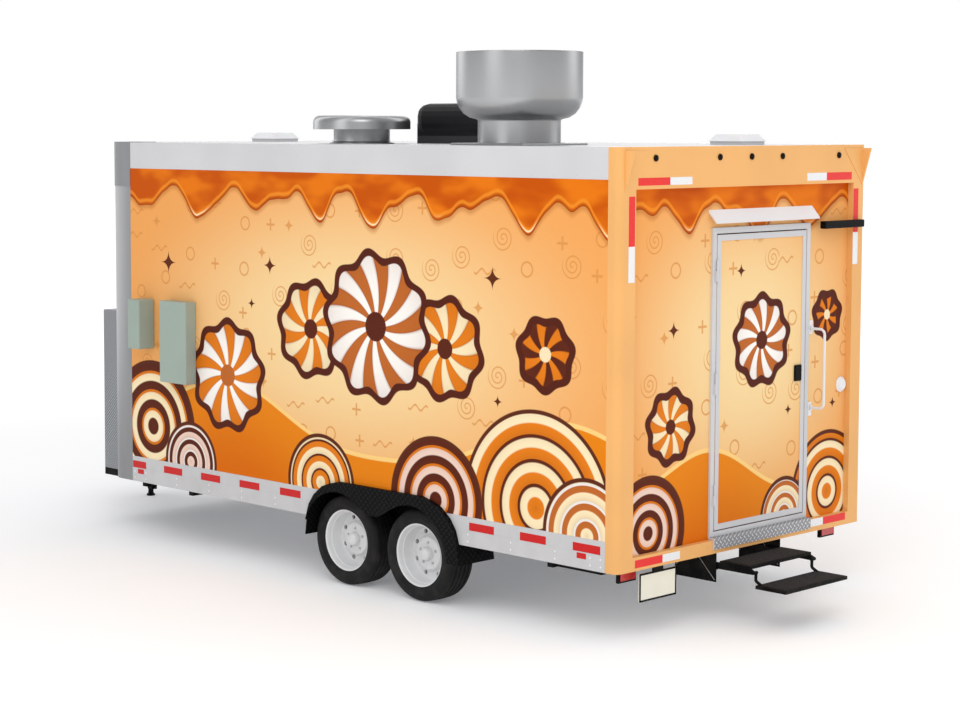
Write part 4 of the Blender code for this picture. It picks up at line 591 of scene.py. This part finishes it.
# %% Assign
FINISHES = {
    "rear_frame": TAN, "floor": RAIL, "roof": ROOF, "wall_front": RAIL, "front_corner_left": CORNER,
    "front_corner_right": CORNER, "wall_left": SIDE_FILM, "wall_right": SIDE_FILM, "serving_hatch": SIDE_FILM,
    "wall_rear": REAR_FILM, "rear_door": DOOR_FILM, "door_frame": LEAF_GREY, "door_latch": BLACK_PLASTIC,
    "drip_cap": WHITE, "grab_handle": WHITE, "rear_bar_lamp": BLACK_PLASTIC, "number_plate": PLATE_CREAM,
    "tail_lamp_left": BLACK_PLASTIC, "tail_lamp_right": BLACK_PLASTIC, "chassis": BLACK,
    "tongue": BLACK, "coupler": BLACK,
    "tongue_jack": BLACK, "axle_front": AXLE_BLACK, "axle_rear": AXLE_BLACK, "fender_left": FENDER,
    "fender_right": FENDER, "step_frame": BLACK, "step_upper": BLACK, "step_lower": BLACK,
    "serving_window": EXTRUSION, "window_glass": GLASS, "counter_shelf": EXTRUSION,
    "service_box_small": GREEN_BOX,
    "service_box_large": GREEN_BOX, "front_cabinet": BRIGHT_PLATE, "cabinet_door_left": BRIGHT_PLATE,
    "cabinet_door_right": BRIGHT_PLATE, "exhaust_fan": GALVANISED, "mushroom_vent": GALVANISED,
    "roof_cooler": COOLER_BLACK, "roof_lid_front": LID_WHITE, "roof_lid_rear": LID_WHITE,
}
for name, node in NODES.items():
    kind = "wheel" if name.startswith("wheel") else "tyre" if name.startswith("tyre") else ""
    chosen = FINISHES.get(name) or {"wheel": WHEEL, "tyre": RUBBER}[kind]
    node.data.materials.clear()
    node.data.materials.append(chosen)
print(len(NODES), "CAD pieces finished")


# %% [markdown]
# ## Ways to make a piece
#
# Every added piece is a mesh from one of four functions: rounded bars or plates, a profile turned
# about an axis, a section carried along a line, or low domes set out on a flat wall.


# %% Makers
def piece(name, verts, faces, paint, body="trailer", angle=35):
    """A mesh piece that rides on a body, smooth but for its sharp edges."""
    mesh = bpy.data.meshes.new(name)
    mesh.from_pydata([tuple(v) for v in verts], [], [tuple(f) for f in faces])
    made = bpy.data.objects.new(name, mesh)
    bpy.context.scene.collection.objects.link(made)
    form = bmesh.new()
    form.from_mesh(mesh)
    bmesh.ops.recalc_face_normals(form, faces=form.faces)
    form.to_mesh(mesh)
    form.free()
    mesh.materials.append(paint)
    mesh.shade_smooth()
    mesh.set_sharp_from_angle(angle=radians(angle))
    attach(made, body)
    return made


def softened(made, width, segments=3):
    """A bevel on the sharp edges."""
    cut = made.modifiers.new("soft", "BEVEL")
    cut.width = width
    cut.segments = segments
    cut.limit_method = "ANGLE"
    cut.angle_limit = radians(40)
    cut.harden_normals = True
    return made


def block_mesh(xs, ys, zs):
    """Corners and faces of a box in the trailer's coordinates."""
    corners = [at(x, y, z) for x in sorted(xs) for y in sorted(ys) for z in sorted(zs)]
    faces = [(0, 1, 3, 2), (4, 6, 7, 5), (0, 4, 5, 1), (2, 3, 7, 6), (0, 2, 6, 4), (1, 5, 7, 3)]
    return corners, faces


def blocks(name, boxes, paint, body="trailer", width=0.002):
    """Several rounded bars or plates as one piece.

    A box has its corners at the ends of its x, y and z ranges, and its edges bevelled by the width.
    """
    verts, faces = [], []
    for xs, ys, zs in boxes:
        corners, sides = block_mesh(xs, ys, zs)
        faces += [tuple(i + len(verts) for i in side) for side in sides]
        verts += corners
    return softened(piece(name, verts, faces, paint, body), width)


def turned(name, profile, centre, axis, paint, body="trailer", steps=96, angle=30):
    """A profile of (radius, height along the axis) turned about it.

    A point is the centre, plus the radius times the cosine of the turn along one side direction and
    its sine along the other, plus the height along the axis.
    """
    axis = Vector(axis).normalized()
    side = axis.orthogonal().normalized()
    other = axis.cross(side)
    verts, rings = [], []
    for radius, height in profile:
        if radius == 0:
            rings.append([len(verts)])
            verts.append(Vector(centre) + axis * height)
            continue
        rings.append(list(range(len(verts), len(verts) + steps)))
        for i in range(steps):
            t = 2 * pi * i / steps
            verts.append(Vector(centre) + radius * (cos(t) * side + sin(t) * other) + axis * height)
    faces = []
    for one, two in zip(rings, rings[1:]):
        for i in range(steps):
            j = (i + 1) % steps
            loop = [one[i % len(one)], one[j % len(one)], two[j % len(two)], two[i % len(two)]]
            loop = list(dict.fromkeys(loop))
            if len(loop) > 2:
                faces.append(loop)
    return piece(name, verts, faces, paint, body, angle)


def carried(section, line):
    """A section carried along a line of points, with closed ends.

    A point is the line's, plus the section's first measure across the line and its second along the
    direction square to both.
    """
    line = [Vector(p) for p in line]
    verts, faces = [], []
    count = len(section)
    for i, point in enumerate(line):
        along = (line[min(i + 1, len(line) - 1)] - line[max(i - 1, 0)]).normalized()
        across = along.cross(Vector((0, 0, 1)))
        if across.length < 0.01:
            across = along.cross(Vector((0, 1, 0)))
        across.normalize()
        upward = across.cross(along)
        verts += [point + across * a + upward * b for a, b in section]
    for i in range(len(line) - 1):
        for j in range(count):
            m = (j + 1) % count
            faces.append((i * count + j, i * count + m, (i + 1) * count + m, (i + 1) * count + j))
    faces += [tuple(range(count)), tuple(range(len(verts) - count, len(verts)))]
    return verts, faces


def circle(radius, sides=12):
    """A round section: the radius times the cosine and the sine of the turn."""
    return [(radius * cos(2 * pi * i / sides), radius * sin(2 * pi * i / sides)) for i in range(sides)]


def domes(name, places, normal, radius, paint, body="trailer", rise=0.35, steps=10):
    """Low domes on one flat wall, as one piece.

    A dome is three rings and a flat cap. A ring's radius is the radius times its share, and it stands
    off the wall by the radius times the rise times its level.
    """
    normal = Vector(normal)
    side = normal.orthogonal().normalized()
    other = normal.cross(side)
    verts, faces = [], []
    for place in places:
        base = len(verts)
        for level, share in ((0.0, 1.0), (0.6, 0.85), (1.0, 0.45)):
            for i in range(steps):
                t = 2 * pi * i / steps
                verts.append(Vector(place) + radius * share * (cos(t) * side + sin(t) * other)
                             + normal * (radius * rise * level))
        for ring in range(2):
            for i in range(steps):
                j = (i + 1) % steps
                faces.append((base + ring * steps + i, base + ring * steps + j,
                              base + (ring + 1) * steps + j, base + (ring + 1) * steps + i))
        faces.append(tuple(base + 2 * steps + i for i in range(steps)))
    return piece(name, verts, faces, paint, body, 60)


# %% [markdown]
# ## Wheels
#
# A tyre has four grooves round its crown, rounded shoulders and a rib on its sidewall. The steel
# disc has a stepped rim, a ring of hand holes, nuts and a hub cap.

# %% Tyres and wheels
WHEEL_X = {"front": 2.425, "rear": 1.716}
WHEEL_Y, TYRE_R = 1.132, 0.313
GROOVE, GROOVE_DEPTH = 0.007, 0.0065
HOLES, HOLE_CIRCLE, HOLE_R = 8, 0.151, 0.0165
NUTS, NUT_CIRCLE, NUT_R, NUT_SEAT = 5, 0.074, 0.0095, 0.0142


def tyre_profile():
    """Half section, mirrored: bead, bulged sidewall with a rib, shoulder, crown with grooves."""
    half = [(0.2065, 0.0950), (0.2090, 0.1010), (0.2190, 0.1062), (0.2235, 0.1082), (0.2280, 0.1090),
            (0.2320, 0.1122), (0.2480, 0.1160), (0.2530, 0.1170), (0.2550, 0.1157), (0.2720, 0.1148),
            (0.2870, 0.1110), (0.2985, 0.1040), (0.3050, 0.0955), (0.3088, 0.0870), (0.3102, 0.0780)]
    crown = []
    for centre in (0.0570, 0.0195):
        r = 0.3129 - 0.55 * centre ** 2
        floor_r = r - GROOVE_DEPTH
        crown += [(r, centre + GROOVE), (floor_r, centre + GROOVE * 0.75), (floor_r, centre - GROOVE * 0.75),
                  (r, centre - GROOVE)]
    side = half + crown
    return side + [(r, -y) for r, y in reversed(side)]


def rim_profile():
    """Outer face of the disc from the hub cap to the rim's lip and round its back."""
    return [(0, 0.0620), (0.016, 0.0612), (0.030, 0.0585), (0.040, 0.0525), (0.046, 0.0430), (0.048, 0.0310),
            (0.048, 0.0160), (0.052, 0.0145), (0.103, 0.0140), (0.108, 0.0120), (0.117, -0.0020),
            (0.127, -0.0160), (0.137, -0.0205), (0.167, -0.0215), (0.175, -0.0180), (0.181, -0.0060),
            (0.185, 0.0140), (0.1865, 0.0400), (0.1890, 0.0600), (0.1950, 0.0660), (0.1975, 0.0800),
            (0.2020, 0.0955), (0.2100, 0.1020), (0.2170, 0.1040), (0.2215, 0.1058), (0.2220, 0.1035),
            (0.2200, 0.1010), (0.2068, 0.0985), (0.2045, 0.0880), (0.1935, 0.0650), (0.1915, -0.0650),
            (0.2045, -0.0880), (0.2068, -0.0985), (0.2200, -0.1010), (0.2220, -0.1035), (0.2150, -0.1058),
            (0.1985, -0.1000), (0.1865, -0.0650), (0.1820, -0.0400), (0.1680, -0.0420), (0.1360, -0.0380),
            (0.1140, -0.0120), (0.100, -0.0020), (0.0, -0.0020)]


for place, x in WHEEL_X.items():
    for hand, side in (("left", 1), ("right", -1)):
        body = f"wheel_{place}_{hand}"
        centre = at(x, side * WHEEL_Y, TYRE_R)
        axis = (0, side, 0)
        tyre = turned(f"tyre_tread_{place}_{hand}", tyre_profile(), centre, axis, RUBBER, body, 96)
        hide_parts(f"tyre_{place}_{hand}")
        rim = turned(f"rim_{place}_{hand}", rim_profile(), centre, axis, WHEEL, body, 96, 25)
        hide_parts(f"wheel_{place}_{hand}")
        holes = bmesh.new()
        for i in range(HOLES):
            t = 2 * pi * (i + 0.5) / HOLES
            spot = Matrix.Translation(centre + Vector((HOLE_CIRCLE * cos(t), 0, HOLE_CIRCLE * sin(t)))) \
                @ Matrix.Rotation(radians(90), 4, "X")
            bmesh.ops.create_cone(holes, cap_ends=True, segments=24, radius1=HOLE_R, radius2=HOLE_R,
                                  depth=0.12, matrix=spot)
        tool_mesh = bpy.data.meshes.new("holes")
        holes.to_mesh(tool_mesh)
        holes.free()
        tool = bpy.data.objects.new("holes", tool_mesh)
        bpy.context.scene.collection.objects.link(tool)
        cut = rim.modifiers.new("holes", "BOOLEAN")
        cut.object = tool
        cut.solver = "EXACT"
        bpy.context.view_layer.update()
        graph = bpy.context.evaluated_depsgraph_get()
        holed = bpy.data.meshes.new_from_object(rim.evaluated_get(graph))
        rim.modifiers.clear()
        rim.data = holed
        bpy.data.objects.remove(tool, do_unlink=True)
        nuts = []
        for i in range(NUTS):
            t = 2 * pi * i / NUTS + 0.3
            nuts.append(centre + Vector((NUT_CIRCLE * cos(t), side * NUT_SEAT, NUT_CIRCLE * sin(t))))
        domes(f"wheel_nuts_{place}_{hand}", nuts, axis, NUT_R, ZINC, body, 1.3, 6)
print("wheels done")

# %% [markdown]
# ## Rails, rivets and tape
#
# The lower rail has a thin skirt plate, red tape and pairs of rivets. The top rail has one row.

# %% Rails and rivets
SIDE_TAPES = [(4.594, 4.756), (4.156, 4.375), (3.713, 3.934), (3.273, 3.494), (2.83, 3.05), (0.977, 1.196),
              (0.534, 0.753), (0.092, 0.313)]
SMALL_TAPES = [(4.62, 4.694), (0.204, 0.28)]
RIVET_X = (4.73, 4.595, 4.22, 3.84, 3.47, 3.10, 1.207, 0.831, 0.458, 0.172, 0.089)
SKIRT = 0.0015
TAPE = 0.0006
for side, hand in ((1, "left"), (-1, "right")):
    face = side * HALF
    skirt = side * (HALF + SKIRT)
    blocks(f"rail_skirt_{hand}", [((POST, 1.262), (face, skirt), (0.4565, 0.56)),
                                  ((2.765, 4.76), (face, skirt), (0.4565, 0.56))], RAIL, width=0.0006)
    blocks(f"tape_{hand}", [((a, b), (face, side * (HALF + TAPE)), (0.5605, 0.6125)) for a, b in SIDE_TAPES]
           + [((a, b), (skirt, side * (HALF + SKIRT + TAPE)), (0.517, 0.553)) for a, b in SMALL_TAPES],
           RED_TAPE, width=0.0002)
    spots = [at(x, skirt, z) for x in RIVET_X for z in (0.532, 0.486)]
    domes(f"rail_rivets_{hand}", spots, (0, side, 0), 0.007, WHITE)
    top_spots = [at(0.12 + 0.185 * i, face, 2.862) for i in range(25)]
    domes(f"top_rivets_{hand}", top_spots, (0, side, 0), 0.0045, RAIL)
print("rails done")

# %% [markdown]
# ## Rear wall trim

# %% Rear tapes, lamps and plate
skin = (FACE - TAPE, FACE)
blocks("tape_rear_red", [(skin, (0.821, 1.127), (2.802, 2.849)), (skin, (-1.121, -0.830), (2.802, 2.853)),
                         (skin, (1.154, 1.212), (2.438, 2.739)), (skin, (-1.204, -1.147), (2.446, 2.741)),
                         (skin, (0.856, 1.123), (0.4725, 0.522)),
                         (skin, (-1.114, -0.8535), (0.4885, 0.5385))],
       BRIGHT_RED_TAPE, width=0.0002)
blocks("tape_rear_white", [(skin, (0.605, 0.821), (2.802, 2.849)), (skin, (-0.830, -0.610), (2.802, 2.853)),
                           (skin, (1.154, 1.212), (2.221, 2.438)), (skin, (-1.204, -1.147), (2.230, 2.446)),
                           (skin, (0.685, 0.856), (0.4725, 0.522)),
                           (skin, (-0.8535, -0.690), (0.4885, 0.5385))],
       WHITE_TAPE, width=0.0002)
for i, y in enumerate((0.965, 0.33, 0.0, -0.33, -0.965)):
    turned(f"marker_{i}", [(0, 0.0125), (0.010, 0.0120), (0.016, 0.0104), (0.0195, 0.0084), (0.0206, 0.0050),
                           (0.0208, 0.0), (0, 0.0)], at(FACE, y, 2.967), (-1, 0, 0), BLACK_PLASTIC, steps=32)


def local(name):
    """A node's box in the trailer's coordinates."""
    low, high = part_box(name)
    return Vector(low) - at(0, 0, 0), Vector(high) - at(0, 0, 0)


for hand in ("left", "right"):
    low, high = local(f"tail_lamp_{hand}")
    blocks(f"tail_lens_{hand}", [((low.x - 0.0012, low.x + 0.005), (low.y + 0.0115, high.y - 0.0115),
                                  (low.z + 0.0115, high.z - 0.0115))], RED_LENS, width=0.003)
low, high = local("number_plate")
RIM = 0.012
FOOT, HEAD = 0.24, 0.418
faces = (low.x - 0.002, low.x + 0.004)
blocks("plate_border", [(faces, (low.y, high.y), (FOOT, FOOT + RIM)),
                        (faces, (low.y, high.y), (HEAD - RIM, HEAD)),
                        (faces, (low.y, low.y + RIM), (FOOT, HEAD)),
                        (faces, (high.y - RIM, high.y), (FOOT, HEAD)),
                        ((low.x - 0.001, low.x + 0.0085), (0.799, 0.901), (0.4175, 0.4545))],
       BLACK_PLASTIC, width=0.0015)
low, high = local("door_frame")
span = (low.y + 0.002, high.y - 0.002)
blocks("threshold_cover", [((low.x - 0.0008, low.x + 0.004), span, (0.4825, 0.5565)),
                           ((low.x, -0.0125), span, (0.5562, 0.5568))],
       THRESHOLD, width=0.0004)

# %% [markdown]
# ## Roof units
#
# The fan and the mushroom vent are spun sheet metal. The fan's rim is rolled over a wire.

# %% Roof units
FAN = at(1.323, 0.7, 0)
fan = [(0, 3.530), (0.09, 3.529), (0.15, 3.526), (0.195, 3.514), (0.215, 3.492), (0.220, 3.46),
       (0.220, 3.222), (0.264, 3.216), (0.320, 3.227), (0.362, 3.252), (0.388, 3.285), (0.402, 3.318),
       (0.408, 3.346), (0.409, 3.636)]
fan += [(0.4133 + 0.0043 * cos(t), 3.6406 + 0.0043 * sin(t)) for t in [pi * (1 - k / 8) for k in range(9)]]
fan += [(0.4172, 3.634), (0.4172, 3.344), (0.411, 3.315), (0.396, 3.278), (0.369, 3.242), (0.327, 3.215),
        (0.283, 3.2045), (0.276, 3.200), (0.274, 3.190), (0.274, 3.0515), (0.300, 3.0510), (0.300, 3.0495)]
bowl = turned("fan_bowl", fan, FAN, (0, 0, 1), GALVANISED, steps=128, angle=50)
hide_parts("exhaust_fan")
curb = block_mesh((1.003, 1.643), (0.38, 1.02), (3.0353, 3.049))
softened(piece("fan_curb", *curb, GALVANISED), 0.004)
VENT = at(2.835, 0.7, 0)
vent = [(0, 3.2400), (0.10, 3.2394), (0.20, 3.2376), (0.27, 3.2353)]
vent += [(0.296 + 0.05 * sin(radians(a)), 3.184 + 0.05 * cos(radians(a))) for a in range(0, 91, 10)]
vent += [(0.346, 3.1368), (0.3452, 3.1362), (0.3410, 3.1362), (0.3395, 3.1380), (0.3360, 3.1560),
         (0.300, 3.159), (0.205, 3.160), (0.200, 3.155), (0.200, 3.052), (0.214, 3.044), (0.230, 3.0415),
         (0.230, 3.0355), (0, 3.0355)]
cap = turned("vent_cap", vent, VENT, (0, 0, 1), GALVANISED, steps=128, angle=50)
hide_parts("mushroom_vent")

# %% [markdown]
# ## Steps
#
# The treads have a grit cover, and thin braces run down the side plates.

# %% Steps
for node, body in (("step_upper", "trailer"), ("step_lower", "step_lower")):
    low, high = local(node)
    top = high.z if node == "step_upper" else 0.285
    front = -0.04 if node == "step_upper" else -0.32
    cover = ((front - 0.222, front - 0.010), (low.y + 0.022, high.y - 0.022), (top, top + 0.0025))
    blocks(f"grip_{node}", [cover], GRIP, body, width=0.001)
RODS = []
for y in (0.2945, -0.3895):
    for x, z in ((-0.012, 0.276), (0.3, 0.335)):
        RODS.append(carried(circle(0.0022, 8), [at(0.15, y, 0.446), at(x, y, z)]))
verts, faces = [], []
for corners, sides in RODS:
    faces += [tuple(i + len(verts) for i in side) for side in sides]
    verts += corners
piece("step_braces", verts, faces, ZINC)
print("trim done")

# %% [markdown]
# ## Floor, light and background
#
# A white floor takes the soft shadow, and a pale, even room gives the light. The background that the
# camera sees is plain white.

# %% Stage and light
floor_mesh = bpy.data.meshes.new("floor_plane")
floor_mesh.from_pydata([(-60, -60, 0), (60, -60, 0), (60, 60, 0), (-60, 60, 0)], [], [(0, 1, 2, 3)])
floor = bpy.data.objects.new("floor_plane", floor_mesh)
bpy.context.scene.collection.objects.link(floor)


def floor_paint(place):
    """White studio floor with the faintest mottling; its painted glow grows the further it lies from the
    trailer, so it is dimmer near the trailer.
    """
    cloud = place.noise(0.8, 3.0)
    # Painted glow: the floor's emission is weaker near the trailer and full far from it.
    painted_glow_far = ((place.part("X") - 2.5) ** 2 + place.part("Y") ** 2).do("SQRT").ramp(4.0, 11.0)
    return {"Base_Color": cloud.mix((0.9, 0.9, 0.9, 1), (0.92, 0.92, 0.92, 1)),
            "Roughness": cloud * 0.1 + 0.85,
            "Emission_Color": painted_glow_far.mix((0.45, 0.46, 0.48, 1), (1, 1, 1, 1))}


FLOOR = finish("studio_floor", floor_paint, Specular_IOR_Level=0.0, Emission_Strength=0.33)
floor_mesh.materials.append(FLOOR)

world = bpy.data.worlds.new("room")
bpy.context.scene.world = world
world.use_nodes = True
tree = world.node_tree
for old in list(tree.nodes):
    tree.nodes.remove(old)
start = Wire(tree, tree.nodes.new("ShaderNodeTexCoord").outputs["Generated"])
height = start.part("Z")
glow = height.ramp(-0.2, 0.9).mix((0.76, 0.76, 0.76, 1), (0.9, 0.9, 0.9, 1))
flat = (start.part("X") ** 2 + start.part("Y") ** 2).do("SQRT")
strips = None
for angle in (85, 245, 310, 0):
    facing = (start.part("X") * cos(radians(angle)) + start.part("Y") * sin(radians(angle))) / flat
    strip = facing.ramp(0.955, 0.995)
    strips = strip if strips is None else strips.most(strip)
mirror = strips.mix((0.52, 0.52, 0.53, 1), (1.9, 1.9, 1.9, 1))
path = tree.nodes.new("ShaderNodeLightPath")
seen = Wire(tree, path.outputs["Is Camera Ray"])
shiny = Wire(tree, path.outputs["Is Glossy Ray"])
room = start.node("Background", {}, Color=shiny.mix(glow, mirror), Strength=1.0)
white = start.node("Background", {}, Color=(1, 1, 1, 1), Strength=1.0)
both = start.node("MixShader", {}, n0=seen, n1=room, n2=white)
out = tree.nodes.new("ShaderNodeOutputWorld")
tree.links.new(both.socket, out.inputs["Surface"])


def lamp(name, place, aim, size, power):
    """A soft square light."""
    data = bpy.data.lights.new(name, "AREA")
    data.size = size
    data.energy = power
    made = bpy.data.objects.new(name, data)
    bpy.context.scene.collection.objects.link(made)
    made.location = at(*place)
    made.rotation_euler = (at(*aim) - at(*place)).to_track_quat("-Z", "Y").to_euler()


lamp("key", (-6, 9.5, 10), (2.5, 0, 1.2), 7, 420)
bpy.context.scene.view_settings.view_transform = "Standard"
